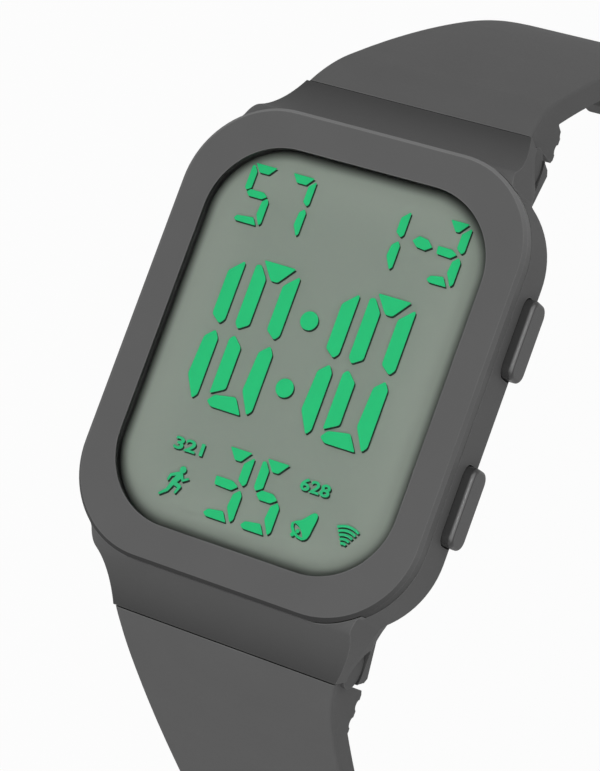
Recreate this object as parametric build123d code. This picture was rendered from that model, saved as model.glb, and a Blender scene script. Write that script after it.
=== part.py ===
from build123d import *
import math
import os

# Digital wristwatch in a resin case with a rectangular face and a resin strap.
# Millimetres. +Z points out of the dial, +Y to 12 o'clock, +X to 3 o'clock.
# The origin is the centre of the outer face of the case back.

# Case, driving sizes
case_width = 37.0
case_length = 46.5
case_corner = 9.4
case_height = 12.8
rim_height = 0.5
wall_foot = 6.0
body_taper_angle = 25.0
corner_tolerance = 0.3
cavity_margin = 0.4
cavity_corner_drop = 0.7
cavity_step = 1.5
lower_cavity_top = 5.0
boss_radius = 1.8
overrun = 1.0

# Bezel and lens
bezel_gap = 0.05
bezel_thickness = 1.6
bezel_lip = 0.5
bezel_bevel = 0.35
bezel_side = 3.4
bezel_end = 3.85
window_corner_drop = 1.7
lens_cover = 0.95
lens_gap = 0.05
lens_thickness = 1.0
lens_gasket_width = 0.45

# Lugs, seat of the strap and spring bar
lug_share = 0.3365
hood_start_drop = 0.5
hood_lead = 1.75
hood_step = 0.1
hood_run = 4.65
hood_height = 6.4
hood_flare = 1.6
lug_root_depth = 5.25
bar_out = 2.65
bar_height = 2.8
knuckle_radius = 2.05
knuckle_recess = 0.15
socket_gap = 0.12
mouth_top_angle = 50.0
mouth_low_angle = -52.0
tail_past_bar = 0.9
tail_low = -1.1
tail_round = 0.5
tail_root_depth = 2.25
hood_blend = 1.2
tail_blend = 12.0
ear_inset = 4.45
ear_thickness = 2.2
ear_radius = 1.85
ear_gap = 0.15
pin_radius = 0.4
pin_gap = 0.05
pin_engagement = 1.5
tube_radius = 0.75
tube_bore = 0.52
tube_gap = 0.15
strap_bore_gap = 0.08
slider_length = 2.0
slider_gap = 0.04
tip_collar = 0.15
bar_spring_wire = 0.12
bar_spring_turns = 9

# Strap, shared sizes
strap_thickness = 2.9
strap_end_thickness = 2.3
strap_edge = 0.3
strap_width_shares = (0.998, 0.924, 0.819, 0.803)
strap_width_levels = (6.2, 0.5, -26.0, -34.0)
crest_gap = 0.12
strap_crest_height = 6.2
neck_top_angle = 45.0
neck_low_angle = -44.0
shoulder_low = -4.1
shoulder_tuck = 0.4
shoulder_start = 5.0
grip_radius = 0.55
grip_places = (1.1, 2.9)

# Strap piece with the buckle, at 12 o'clock
buckle_strap_length = 86.0
buckle_strap_heading = -33.0
buckle_strap_shares = (0.0814, 0.1395, 0.1512, 0.1395, 0.3372, 0.1512)
buckle_strap_turns = (24.0, 3.5, 4.0, 7.5, 8.0, 18.0)
buckle_shoulder_gap = 1.5
buckle_shoulder_end = 9.5

# Strap piece with the adjusting holes, at 6 o'clock
hole_strap_length = 114.0
hole_strap_heading = -45.0
hole_strap_shares = (0.062, 0.1054, 0.1143, 0.4339, 0.2401, 0.0443)
hole_strap_turns = (15.0, 3.0, 2.0, 10.0, 105.0, 0.0)
hole_shoulder_gap = 0.75
hole_shoulder_end = 11.0
hole_count = 9
hole_pitch = 5.6
hole_length = 3.0
hole_width = 1.8
first_hole = 50.0
tip_length = 7.0

# Buckle
buckle_pin_radius = 0.7
buckle_pin_gap = 0.04
strap_eye_radius = 1.6
frame_clearance = 0.35
frame_bar = 2.2
frame_thickness = 2.0
frame_back = 1.7
frame_corner = 3.0
tongue_width = 2.2
tongue_thickness = 0.9
tongue_eye_radius = 1.45
tongue_gap = 0.3
tongue_rest = 0.05
tongue_short = 0.6
tongue_slot = 5.0

# Free keeper loop on the strap
keeper_place = 79.0
keeper_length = 4.0
keeper_wall = 1.1
keeper_gap = 0.35
keeper_slack = 2.6

# Push buttons on the 3 o'clock side
button_spacing = 16.8
button_height = 7.3
button_length = 7.9
button_width = 3.8
button_corner = 1.2
button_round = 0.4
button_proud = 1.1
button_seat_depth = 1.15
button_cap_depth = 0.25
button_side_gap = 0.12
button_travel = 0.6
stem_radius = 1.0
stem_gap = 0.06
clip_groove_radius = 0.7
clip_radius = 1.8
clip_thickness = 0.3
clip_gap = 0.05
stem_end = 0.6
seal_groove_radius = 0.7
seal_width = 0.5
seal_gap = 0.02
spring_room_radius = 1.65
spring_room_depth = 0.95
spring_wire = 0.2
spring_turns = 3

# Module, from the display down to the battery
display_margin = 0.1
display_gap = 0.3
display_thickness = 1.2
reflector_thickness = 0.15
light_guide_thickness = 0.8
module_gap = 0.2
module_deck = 1.5
board_top = 5.8
board_thickness = 0.8
strip_width = 1.5
strip_end_gap = 0.5
strip_gap = 0.1
frame_wall = 1.2
film_corner = 2.5
boss_gap = 0.6
board_step = 0.5
frame_low = 2.2
button_window = 5.2
battery_diameter = 20.0
battery_thickness = 2.5
battery_end_gap = 4.9
battery_rim = 1.2
battery_step = 0.3
battery_film = 0.1
battery_clip_width = 5.0
battery_clip_thickness = 0.2
chip_radius = 3.6
chip_rise = 1.0
chip_place = 3.0
crystal_radius = 0.7
crystal_length = 6.0
crystal_inset = (4.65, 10.4)
coil_radius = 2.2
coil_core_radius = 1.1
coil_height = 1.1
coil_inset = (5.15, 8.9)
capacitor_size = (2.0, 1.25, 0.8)
capacitor_pitch = 3.2
capacitor_count = 3
capacitor_inset = (3.05, 9.9)
contact_thickness = 0.2
contact_width = 2.4
contact_foot = 2.2
contact_room = 0.1

# Case back, gasket, screws and sounder
back_lap = 1.0
back_thickness = 0.9
back_bevel = 0.25
back_gap = 0.1
gasket_thickness = 0.3
boss_inset = 1.6
screw_radius = 0.6
screw_gap = 0.05
screw_length = 3.2
screw_head_radius = 1.15
screw_head_height = 0.45
screw_head_gap = 0.1
screw_slot_width = 0.3
screw_slot_depth = 0.2
sounder_radius = 9.0
sounder_thickness = 0.3
sounder_disc_radius = 6.5
sounder_disc_thickness = 0.15
sounder_end_gap = 2.3
feeler_radius = 1.0
feeler_wire = 0.3
feeler_turns = 4
feeler_inset = 1.3

# Outlines that follow, from the case inwards
window_width = case_width - 2 * bezel_side
window_length = case_length - 2 * bezel_end
window_corner = case_corner - window_corner_drop
cavity_width = window_width + 2 * cavity_margin
cavity_length = window_length + 2 * cavity_margin
cavity_corner = window_corner - cavity_corner_drop
lower_cavity_width = cavity_width - 2 * cavity_step
lower_cavity_length = cavity_length - 2 * cavity_step
lower_cavity_corner = cavity_corner - cavity_step
back_width = lower_cavity_width + 2 * back_lap
back_length = lower_cavity_length + 2 * back_lap
back_corner = lower_cavity_corner + back_lap
screw_x = lower_cavity_width / 2 - boss_inset
screw_y = lower_cavity_length / 2 - boss_inset
button_places = (button_spacing / 2, -button_spacing / 2)

# Lug and strap places that follow
case_end = case_length / 2
hood_reach = case_end + hood_run
lug_root = case_end - lug_root_depth
tail_root = case_end - tail_root_depth
bar_reach = case_end + bar_out
tail_reach = bar_reach + tail_past_bar
strap_crest_reach = hood_reach + crest_gap
lug_half_width = case_width * lug_share
ear_inner = lug_half_width - ear_inset
strap_half_widths = tuple(lug_half_width * share for share in strap_width_shares)

# Heights and planes that follow
front_plane = case_height
bezel_low = front_plane - bezel_thickness
lens_top = front_plane - bezel_lip
lens_low = lens_top - lens_thickness
display_top = bezel_low - module_gap
display_low = display_top - display_thickness
reflector_low = display_low - reflector_thickness
guide_low = reflector_low - light_guide_thickness
deck_low = guide_low - module_deck
board_low = board_top - board_thickness
battery_top = board_low - battery_film
battery_low = battery_top - battery_thickness
gasket_low = back_thickness
gasket_top = gasket_low + gasket_thickness
wall_inside = cavity_width / 2
wall_outside = case_width / 2
bar_axis = (bar_reach, bar_height)
ear_outer = ear_inner + ear_thickness
tube_half = ear_inner - tube_gap
battery_place = lower_cavity_length / 2 - battery_diameter / 2 - battery_end_gap
sounder_place = sounder_radius + sounder_end_gap - lower_cavity_length / 2
feeler_place = sounder_place - sounder_radius + feeler_inset


def plate(width, length, corner, low, high):
    """A slab with rounded corners between two heights, centred on the dial."""
    return Pos(0, 0, low) * extrude(RectangleRounded(width, length, corner), high - low)


def ring(outer, inner, low, high):
    """A slab between two rounded outlines, each (width, length, corner)."""
    hole = plate(*inner, low - overrun, high + overrun)
    return plate(*outer, low, high) - hole


def across(radius, start, end, y, z):
    """A cylinder along X from one x to another."""
    return Pos(start, y, z) * Rot(0, 90, 0) * extrude(Circle(radius), end - start)


def sideways(outline, half_width):
    """A side outline, drawn in Y and Z, made as wide as the piece along X."""
    face = Plane.YZ * make_face(outline)
    return extrude(face, half_width, both=True)


def polar(centre, radius, angle):
    """A point on a circle, with the angle in degrees."""
    turn = math.radians(angle)
    return (centre[0] + radius * math.cos(turn), centre[1] + radius * math.sin(turn))


def arc_round(centre, radius, start, end):
    """An arc about a centre from one angle to another, in degrees."""
    middle = polar(centre, radius, (start + end) / 2)
    return ThreePointArc(polar(centre, radius, start), middle, polar(centre, radius, end))


def coil(radius, wire, length, turns):
    """A compression spring along +Z from the origin, its wire six-sided."""
    path = Helix(pitch=(length - wire) / turns, height=length - wire, radius=radius - wire / 2)
    start = Plane(path @ 0, x_dir=(0, 0, 1), z_dir=path % 0)
    spring = sweep(start * RegularPolygon(wire / 2, 6), path=path, is_frenet=True)
    return Pos(0, 0, wire / 2) * spring


def at_12_and_6(piece):
    """The piece and its mirror image at the other end of the case."""
    return piece + mirror(piece, about=Plane.XZ)


# Case

def lug_profile():
    """Side outline of one lug: hood, mouth of the strap seat and tail."""
    top = front_plane - hood_start_drop
    start = (case_end - hood_lead, top)
    step = (case_end, bezel_low - hood_step)
    tip = (hood_reach, hood_height)
    shoulder = TangentArc(start, step, tangent=(1, 0))
    scoop = TangentArc(step, tip, tangent=shoulder % 1)
    socket = knuckle_radius + socket_gap
    mouth_top = polar(bar_axis, socket, mouth_top_angle)
    mouth_low = polar(bar_axis, socket, mouth_low_angle)
    tail_end = (tail_reach, tail_low + tail_round)
    tail_foot = (tail_reach - tail_round, tail_low)
    return [
        Line((lug_root, top), start),
        shoulder,
        scoop,
        Line(tip, mouth_top),
        arc_round(bar_axis, socket, mouth_top_angle, 360 + mouth_low_angle),
        Line(mouth_low, tail_end),
        Line(tail_end, tail_foot),
        Line(tail_foot, (tail_root, rim_height)),
        Line((tail_root, rim_height), (lug_root, rim_height)),
        Line((lug_root, rim_height), (lug_root, top)),
    ]


def case_plan(shrink, flare, blend):
    """Plan outline of case and lugs, its inner corners rounded out.

    The case is taken in by an amount, and the lugs widen by another towards it.
    """
    plan = RectangleRounded(case_width - 2 * shrink, case_length - 2 * shrink, case_corner - shrink)
    reach = hood_reach + overrun
    widening = flare / hood_run
    tip = lug_half_width - widening * overrun
    root = lug_half_width + widening * (hood_reach - lug_root)
    corners = [(tip, reach), (root, lug_root), (root, -lug_root), (tip, -reach)]
    opposite = [(-x, y) for x, y in reversed(corners)]
    plan += make_face(Polyline(*corners, *opposite, close=True))
    corner_y = case_end - case_corner + overrun
    inside = [v for v in plan.vertices() if corner_y < abs(v.Y) < case_end]
    return fillet(inside, blend)


def spring_bar_ears():
    """The pair of ears in one strap seat, each with a blind hole for a bar tip."""
    ears = Part()
    for side in (-1, 1):
        inner = side * ear_inner
        outer = side * ear_outer
        low, high = min(inner, outer), max(inner, outer)
        ear = across(ear_radius, low, high, *bar_axis)
        web_depth = knuckle_radius + socket_gap + overrun
        web = Box(ear_thickness, web_depth, 2 * ear_radius, align=(Align.CENTER, Align.MAX, Align.CENTER))
        ear += Pos((low + high) / 2, bar_reach, bar_height) * web
        reach = side * (ear_inner + pin_engagement + tip_collar)
        hole = across(pin_radius + pin_gap, min(inner, reach), max(inner, reach), *bar_axis)
        ears += ear - hole
    return ears


def button_seat(place):
    """What is cut from the wall for one button: seat, spring room and stem bore."""
    width, length = button_width + 2 * button_side_gap, button_length + 2 * button_side_gap
    outline = RectangleRounded(length, width, button_corner + button_side_gap)
    side = Plane((wall_outside - button_seat_depth, place, button_height), x_dir=(0, 1, 0), z_dir=(1, 0, 0))
    seat = extrude(side * outline, button_seat_depth + overrun)
    room_start = wall_outside - button_seat_depth - spring_room_depth
    room = across(spring_room_radius, room_start, wall_outside, place, button_height)
    bore = across(stem_radius + stem_gap, wall_inside - overrun, wall_outside, place, button_height)
    return seat + room + bore


def corner_places():
    """The four places of the case back's screws."""
    x, y = screw_x, screw_y
    return [(x, y), (-x, y), (-x, -y), (x, -y)]


def make_case_body():
    """The moulded case: tapered body, hooded lugs, ears, seats and cavity."""
    upper = plate(case_width, case_length, case_corner, wall_foot, bezel_low)
    foot = Pos(0, 0, wall_foot) * RectangleRounded(case_width, case_length, case_corner)
    drop = wall_foot - rim_height
    body = upper + extrude(foot, -drop, taper=body_taper_angle)
    shrink = drop * math.tan(math.radians(body_taper_angle))
    hood_plan = Pos(0, 0, wall_foot) * case_plan(0, hood_flare, hood_blend)
    tail_plan = Pos(0, 0, rim_height) * case_plan(shrink, 0, tail_blend)
    flares = extrude(hood_plan, front_plane - wall_foot) + loft([hood_plan, tail_plan], ruled=True)
    flares += Pos(0, 0, tail_low) * extrude(Rectangle(2 * lug_half_width, 2 * hood_reach), wall_foot)
    body += flares & at_12_and_6(sideways(lug_profile(), wall_outside))
    body += at_12_and_6(spring_bar_ears())
    body -= plate(case_width, case_length, case_corner, bezel_low, front_plane)
    body -= plate(cavity_width, cavity_length, cavity_corner, lower_cavity_top, front_plane)
    lower = plate(lower_cavity_width, lower_cavity_length, lower_cavity_corner, 0, front_plane)
    hole_top = gasket_top + screw_length
    for x, y in corner_places():
        boss = extrude(Circle(boss_radius), lower_cavity_top)
        lower -= Pos(x, y) * boss
    body -= lower
    body -= plate(back_width + 2 * back_gap, back_length + 2 * back_gap,
                  back_corner + back_gap, -overrun, gasket_top)
    for x, y in corner_places():
        body -= Pos(x, y) * extrude(Circle(screw_radius + screw_gap), hole_top)
    for place in button_places:
        body -= button_seat(place)
    return body


def make_bezel():
    """The flat front frame on top of the case, with a rabbet underneath for the lens."""
    outer = (case_width - 2 * bezel_gap, case_length - 2 * bezel_gap, case_corner - bezel_gap)
    frame = ring(outer, (window_width, window_length, window_corner), bezel_low, front_plane)
    top = frame.faces().sort_by(Axis.Z)[-1]
    frame = chamfer(top.outer_wire().edges(), bezel_bevel)
    frame -= plate(window_width + 2 * lens_cover, window_length + 2 * lens_cover,
                   window_corner + lens_cover, bezel_low, lens_top)
    return frame


def lens_outline():
    """Width, length and corner radius of the lens."""
    grow = lens_cover - lens_gap
    return (window_width + 2 * grow, window_length + 2 * grow, window_corner + grow)


def make_lens():
    """The flat mineral glass under the bezel's lip."""
    return plate(*lens_outline(), lens_low, lens_top)


def make_lens_gasket():
    """The thin seal between the lens and the ledge of the case."""
    width, length, corner = lens_outline()
    trim = lens_gasket_width
    inner = (width - 2 * trim, length - 2 * trim, corner - trim)
    return ring((width, length, corner), inner, bezel_low, lens_low)


# Case back

def back_outline(shrink):
    """The outline of the case back, taken in by an amount."""
    return (back_width - 2 * shrink, back_length - 2 * shrink, back_corner - shrink)


def make_case_back():
    """The steel cover, with a recess for each screw head."""
    cover = plate(*back_outline(0), 0, back_thickness)
    cover = chamfer(cover.faces().sort_by(Axis.Z)[0].edges(), back_bevel)
    for x, y in corner_places():
        recess = extrude(Circle(screw_head_radius + screw_head_gap), screw_head_height)
        hole = extrude(Circle(screw_radius + screw_gap), back_thickness)
        cover -= Pos(x, y) * (recess + hole)
    return cover


def make_case_back_gasket():
    """The flat seal between the cover and the rim of the case."""
    seal = plate(*back_outline(0), gasket_low, gasket_top)
    inside = plate(lower_cavity_width, lower_cavity_length, lower_cavity_corner, 0, front_plane)
    for x, y in corner_places():
        inside -= Pos(x, y) * extrude(Circle(boss_radius), front_plane)
    seal -= inside
    for x, y in corner_places():
        seal -= Pos(x, y) * extrude(Circle(screw_radius + screw_gap), gasket_top)
    return seal


def make_screw():
    """One screw with a slotted head, point up."""
    head = extrude(Circle(screw_head_radius), screw_head_height)
    slot = Box(2 * screw_head_radius, screw_slot_width, 2 * screw_slot_depth)
    shank = extrude(Circle(screw_radius), gasket_top + screw_length - screw_head_gap)
    return head + shank - slot


def make_case_back_screws():
    """The four screws of the case back."""
    screw = make_screw()
    return Compound([Pos(x, y) * screw for x, y in corner_places()])


def make_piezo_disc():
    """The sounder: a brass disc with a ceramic disc on it, glued to the case back."""
    brass = extrude(Circle(sounder_radius), sounder_thickness)
    ceramic = extrude(Circle(sounder_disc_radius), sounder_thickness + sounder_disc_thickness)
    return Pos(0, sounder_place, back_thickness) * (brass + ceramic)


# Buttons

def make_button(place):
    """One pusher: a cap with rounded edges, its stem, seal groove and clip groove."""
    face = Plane((wall_outside + button_proud, place, button_height), x_dir=(0, 1, 0), z_dir=(-1, 0, 0))
    depth = button_proud + button_cap_depth
    cap = extrude(face * RectangleRounded(button_length, button_width, button_corner), depth)
    cap = fillet(cap.faces().sort_by(Axis.X)[-1].edges(), button_round)
    stem_start = wall_inside - clip_gap - clip_thickness - stem_end
    button = cap + across(stem_radius, stem_start, wall_outside, place, button_height)
    for start, width, radius in (clip_groove(), seal_groove()):
        outer = across(stem_radius + overrun, start, start + width, place, button_height)
        inner = across(radius, start - overrun, start + width + overrun, place, button_height)
        button -= outer - inner
    return button


def clip_groove():
    """Start, width and core radius of the groove for the clip."""
    return (wall_inside - clip_gap - clip_thickness, clip_thickness, clip_groove_radius)


def seal_groove():
    """Start, width and core radius of the groove for the seal ring."""
    room = wall_outside - button_seat_depth - spring_room_depth
    middle = (wall_inside + room) / 2
    return (middle - seal_width / 2, seal_width, seal_groove_radius)


def make_button_seal(place):
    """The rubber ring in the stem's groove."""
    start, width, core = seal_groove()
    outer = stem_radius + stem_gap - seal_gap
    body = across(outer, start + seal_gap, start + width - seal_gap, place, button_height)
    return body - across(core, start, start + width, place, button_height)


def make_button_clip(place):
    """The retaining clip, open on one side, that stops the button at the wall."""
    start, width, core = clip_groove()
    clip = across(clip_radius, start, start + width, place, button_height)
    clip -= across(core, start, start + width, place, button_height)
    opening = Box(width, 2 * core, clip_radius, align=(Align.MIN, Align.CENTER, Align.MAX))
    return clip - Pos(start, place, button_height) * opening


def make_button_spring(place):
    """The return spring between the floor of its room and the cap."""
    floor = wall_outside - button_seat_depth - spring_room_depth
    length = wall_outside - button_cap_depth - floor
    inner = stem_radius + spring_wire + stem_gap
    spring = coil(inner, spring_wire, length, spring_turns)
    return Pos(floor, place, button_height) * Rot(0, 90, 0) * spring


# Module

def make_lcd_panel():
    """The display cell, seen through the whole window."""
    grow = display_margin
    size = (window_width + 2 * grow, window_length + 2 * grow, window_corner + grow)
    return plate(*size, display_low, display_top)


def display_field(shrink):
    """The module's plan outline inside the cavity, taken in by an amount."""
    inset = display_gap + shrink
    return (cavity_width - 2 * inset, cavity_length - 2 * inset, cavity_corner - inset)


def strip_place():
    """How far from the middle each contact strip stands."""
    return window_length / 2 - strip_width / 2


def make_lcd_reflector():
    """The reflecting sheet under the display, between the contact strips."""
    length = 2 * (strip_place() - strip_width / 2 - strip_gap)
    width = display_field(frame_wall)[0]
    film = RectangleRounded(width, length, film_corner)
    return Pos(0, 0, reflector_low) * extrude(film, reflector_thickness)


def make_backlight_panel():
    """The light guide under the reflecting sheet."""
    length = 2 * (strip_place() - strip_width / 2 - frame_wall)
    width = display_field(frame_wall)[0] - frame_wall
    guide = RectangleRounded(width, length, film_corner)
    return Pos(0, 0, guide_low) * extrude(guide, light_guide_thickness)


def contact_strip(shrink):
    """One elastomer strip from the board up to the display."""
    length = board_end_width() - 2 * strip_end_gap + 2 * shrink
    depth = strip_width + 2 * shrink
    height = display_low - board_top
    block = Box(length, depth, height, align=(Align.CENTER, Align.CENTER, Align.MIN))
    return Pos(0, strip_place(), board_top) * block


def make_contact_strips():
    """The pair of elastomer strips, at the display's ends."""
    strip = contact_strip(0)
    return Compound([strip, mirror(strip, about=Plane.XZ)])


def make_module_frame():
    """The moulded carrier: deck for the light guide, room for the board and battery."""
    frame = plate(*display_field(0), lower_cavity_top, display_low)
    frame += plate(lower_cavity_width - 2 * display_gap, lower_cavity_length - 2 * display_gap,
                   lower_cavity_corner - display_gap, frame_low, lower_cavity_top)
    for x, y in corner_places():
        frame -= Pos(x, y) * extrude(Circle(boss_radius + module_gap), lower_cavity_top)
    guide_length = 2 * (strip_place() - strip_width / 2 - frame_wall)
    guide_width = display_field(frame_wall)[0] - frame_wall
    guide = RectangleRounded(guide_width, guide_length, film_corner)
    frame -= Pos(0, 0, guide_low) * extrude(guide, front_plane)
    film_length = 2 * (strip_place() - strip_width / 2 - strip_gap)
    film = RectangleRounded(display_field(frame_wall)[0], film_length, film_corner)
    frame -= Pos(0, 0, reflector_low) * extrude(film, front_plane)
    frame -= extrude(board_plan(strip_gap), board_top)
    frame -= extrude(board_plan(-board_step), deck_low)
    frame -= at_12_and_6(contact_strip(strip_gap))
    for place in button_places:
        frame -= Pos(wall_inside, place, lower_cavity_top) * button_room()
    return frame


def button_room():
    """Room in the carrier for the end of a button's stem, its clip and its contact."""
    depth = stem_depth() + contact_foot + contact_room
    height = button_height + clip_radius + module_gap - lower_cavity_top
    return Box(2 * depth, button_window, height, align=(Align.CENTER, Align.CENTER, Align.MIN))


def stem_depth():
    """How far in from the wall the face of a contact leaf stands."""
    return clip_gap + clip_thickness + stem_end + button_travel + contact_room


def board_size():
    """Width and length of the circuit board."""
    width = cavity_width - 2 * (stem_depth() + frame_wall)
    return width, 2 * (strip_place() + strip_width / 2)


def board_end_width():
    """The board's width at its ends, between the screw bosses."""
    return 2 * (screw_x - boss_radius - boss_gap)


def board_plan(grow):
    """The circuit board's outline, narrower past the screw bosses, grown by an amount."""
    width, length = board_size()
    wide_length = 2 * (screw_y - boss_radius - boss_gap)
    middle = Rectangle(width + 2 * grow, wide_length + 2 * grow)
    return middle + Rectangle(board_end_width() + 2 * grow, length + 2 * grow)


def on_board(inset, side, end):
    """A place on the board at an inset from one of its corners."""
    width, length = board_size()
    return side * (width / 2 - inset[0]), end * (length / 2 - inset[1])


def make_circuit_board():
    """The board, held up against the carrier's step by the battery under it."""
    return Pos(0, 0, board_low) * extrude(board_plan(0), board_thickness)


def make_chip_cover():
    """The domed resin drop over the chip, on top of the board."""
    ball = (chip_radius ** 2 + chip_rise ** 2) / (2 * chip_rise)
    dome = Pos(0, 0, chip_rise - ball) * Sphere(ball)
    keep = extrude(Circle(chip_radius), chip_rise)
    return Pos(0, chip_place, board_top) * (dome & keep)


def make_quartz_crystal():
    """The tuning crystal's can, lying on the board."""
    x, y = on_board(crystal_inset, 1, -1)
    can = Rot(90, 0, 0) * extrude(Circle(crystal_radius), crystal_length)
    flat = Box(crystal_radius, crystal_length, crystal_radius, align=(Align.CENTER, Align.MAX, Align.MAX))
    return Pos(x, y, board_top + crystal_radius) * (can + flat)


def make_boost_coil():
    """The sounder's coil on its core."""
    x, y = on_board(coil_inset, -1, -1)
    winding = extrude(Circle(coil_radius), coil_height)
    flange = extrude(Circle(coil_radius + contact_thickness), contact_thickness)
    core = extrude(Circle(coil_core_radius), coil_height + contact_thickness)
    return Pos(x, y, board_top) * (winding + flange + core)


def make_board_capacitors():
    """A row of small capacitors on the board."""
    x, y = on_board(capacitor_inset, -1, 1)
    block = Box(*capacitor_size, align=(Align.CENTER, Align.CENTER, Align.MIN))
    places = [(x, y - capacitor_pitch * step, board_top) for step in range(capacitor_count)]
    return Compound([Pos(*place) * block for place in places])


def make_button_contact(place):
    """The bent contact leaf that a stem touches at the end of its travel."""
    face = wall_inside - stem_depth()
    rise = button_height + stem_radius - board_top
    leaf = Box(contact_thickness, contact_width, rise, align=(Align.MAX, Align.CENTER, Align.MIN))
    foot = Box(contact_foot, contact_width, contact_thickness, align=(Align.MAX, Align.CENTER, Align.MIN))
    return Pos(face, place, board_top) * (leaf + foot)


def make_battery_insulator():
    """The film between the battery and the board."""
    film = Pos(0, battery_place, battery_top) * extrude(Circle(battery_diameter / 2), battery_film)
    return film


def make_coin_battery():
    """A coin cell: the can with its smaller cap facing the board."""
    radius = battery_diameter / 2
    can = extrude(Circle(radius), battery_thickness - battery_step)
    cap = extrude(Circle(radius - battery_rim), battery_thickness)
    return Pos(0, battery_place, battery_low) * (can + cap)


def make_battery_clip():
    """The steel strap under the battery, with a leg up to the board at each side."""
    reach = battery_diameter / 2 + battery_clip_thickness + contact_room
    low = battery_low - battery_clip_thickness
    strap = Box(2 * reach, battery_clip_width, battery_clip_thickness,
                align=(Align.CENTER, Align.CENTER, Align.MIN))
    leg = Box(battery_clip_thickness, battery_clip_width, board_low - low,
              align=(Align.MAX, Align.CENTER, Align.MIN))
    clip = strap + Pos(reach) * leg + Pos(battery_clip_thickness - reach) * leg
    return Pos(0, battery_place, low) * clip


def make_sounder_spring():
    """The small spring from the board down to the sounder."""
    low = back_thickness + sounder_thickness
    spring = coil(feeler_radius, feeler_wire, board_low - low, feeler_turns)
    return Pos(0, feeler_place, low) * spring


# Spring bars

def make_bar_tube():
    """The tube of one spring bar, between the ears."""
    tube = across(tube_radius, -tube_half, tube_half, *bar_axis)
    return tube - across(tube_bore, -ear_inner, ear_inner, *bar_axis)


def make_bar_tip(side):
    """One sprung tip: the slider in the tube and the pin in the ear."""
    slider_end = tube_half - tip_collar
    slider = across(tube_bore - slider_gap, slider_end - slider_length, slider_end, *bar_axis)
    pin = across(pin_radius, slider_end - slider_length, ear_inner + pin_engagement, *bar_axis)
    tip = slider + pin
    return tip if side > 0 else mirror(tip, about=Plane.YZ)


def make_bar_spring():
    """The spring inside the tube, between the two tips."""
    half = tube_half - tip_collar - slider_length
    spring = coil(tube_bore - slider_gap, bar_spring_wire, 2 * half, bar_spring_turns)
    return Pos(-half, *bar_axis) * Rot(0, 90, 0) * spring


# Strap

def arc_step(point, heading, length, turn):
    """The end point and heading of an arc of a length that turns by an angle."""
    bend = math.radians(turn)
    chord = length if turn == 0 else 2 * length / bend * math.sin(bend / 2)
    return polar(point, chord, heading - turn / 2), heading - turn


def walk(start, heading, lengths, turns):
    """Stations along a chain of arcs: (point, heading, distance) at ends and middles."""
    stations = [(start, heading, 0.0)]
    point, distance = start, 0.0
    for length, turn in zip(lengths, turns):
        for _ in range(2):
            point, heading = arc_step(point, heading, length / 2, turn / 2)
            distance += length / 2
            stations.append((point, heading, distance))
    return stations


def station_at(stations, distance):
    """Point and heading at a distance along the chain of arcs."""
    nearest = max(station for station in range(len(stations) - 1) if stations[station][2] <= distance)
    point, heading, start = stations[nearest]
    _, next_heading, end = stations[nearest + 1]
    share = (distance - start) / (end - start)
    return arc_step(point, heading, distance - start, (heading - next_heading) * share)


def strap_frame(stations, distance):
    """The plane on the strap's outer face: x across, y along the strap, z outwards."""
    point, heading = station_at(stations, distance)
    return heading_plane(point, heading)


def heading_plane(point, heading):
    """A plane at a point of the side view, its y axis along the heading."""
    turn = math.radians(heading)
    return Plane((0, *point), x_dir=(1, 0, 0), z_dir=(0, -math.sin(turn), math.cos(turn)))


def thickness_at(share):
    """Strap thickness at a share of the length from the lug."""
    return strap_thickness + (strap_end_thickness - strap_thickness) * share


def inner_point(station, total):
    """The point of the strap's inner face under a station of its outer face."""
    point, heading, distance = station
    return polar(point, thickness_at(distance / total), heading - 90)


def strap_profile(stations, total):
    """Side outline of a strap piece, from the knuckle in the lug to its end."""
    outer = [station[0] for station in stations]
    inner = [inner_point(station, total) for station in stations]
    neck_top = polar(bar_axis, knuckle_radius, neck_top_angle)
    neck_low = polar(bar_axis, knuckle_radius, neck_low_angle)
    edges = [
        Line(outer[0], neck_top),
        arc_round(bar_axis, knuckle_radius, neck_top_angle, 360 + neck_low_angle),
        Line(neck_low, inner[2]),
    ]
    for start in range(0, len(stations) - 1, 2):
        edges.append(through(outer[start:start + 3]))
        if start >= 2:
            edges.append(through(inner[start:start + 3]))
    edges.append(Line(outer[-1], inner[-1]))
    return edges


def shoulder_profile(stations, total, gap, end):
    """Side outline of the strap's thick shoulder, a gap behind the tail of the lug."""
    toe_reach = tail_reach + gap
    neck = polar(bar_axis, knuckle_radius, neck_low_angle)
    back, back_heading = station_at(stations, end)
    thickness = thickness_at(end / total)
    foot = polar(back, thickness, back_heading - 90)
    top, top_heading = station_at(stations, shoulder_start)
    return Polyline(
        (toe_reach, neck[1] - socket_gap), (toe_reach, shoulder_low + shoulder_tuck),
        (toe_reach + shoulder_tuck, shoulder_low), (foot[0] - shoulder_tuck, shoulder_low), foot,
        polar(back, thickness / 2, back_heading - 90),
        polar(top, strap_edge + shoulder_tuck, top_heading - 90), neck, close=True)


def through(points):
    """The arc through three points, or the line where they lie straight."""
    first, middle, last = points
    area = (middle[0] - first[0]) * (last[1] - first[1]) - (middle[1] - first[1]) * (last[0] - first[0])
    if abs(area) < 1e-6 * math.dist(first, last):
        return Line(first, last)
    return ThreePointArc(first, middle, last)


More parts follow.
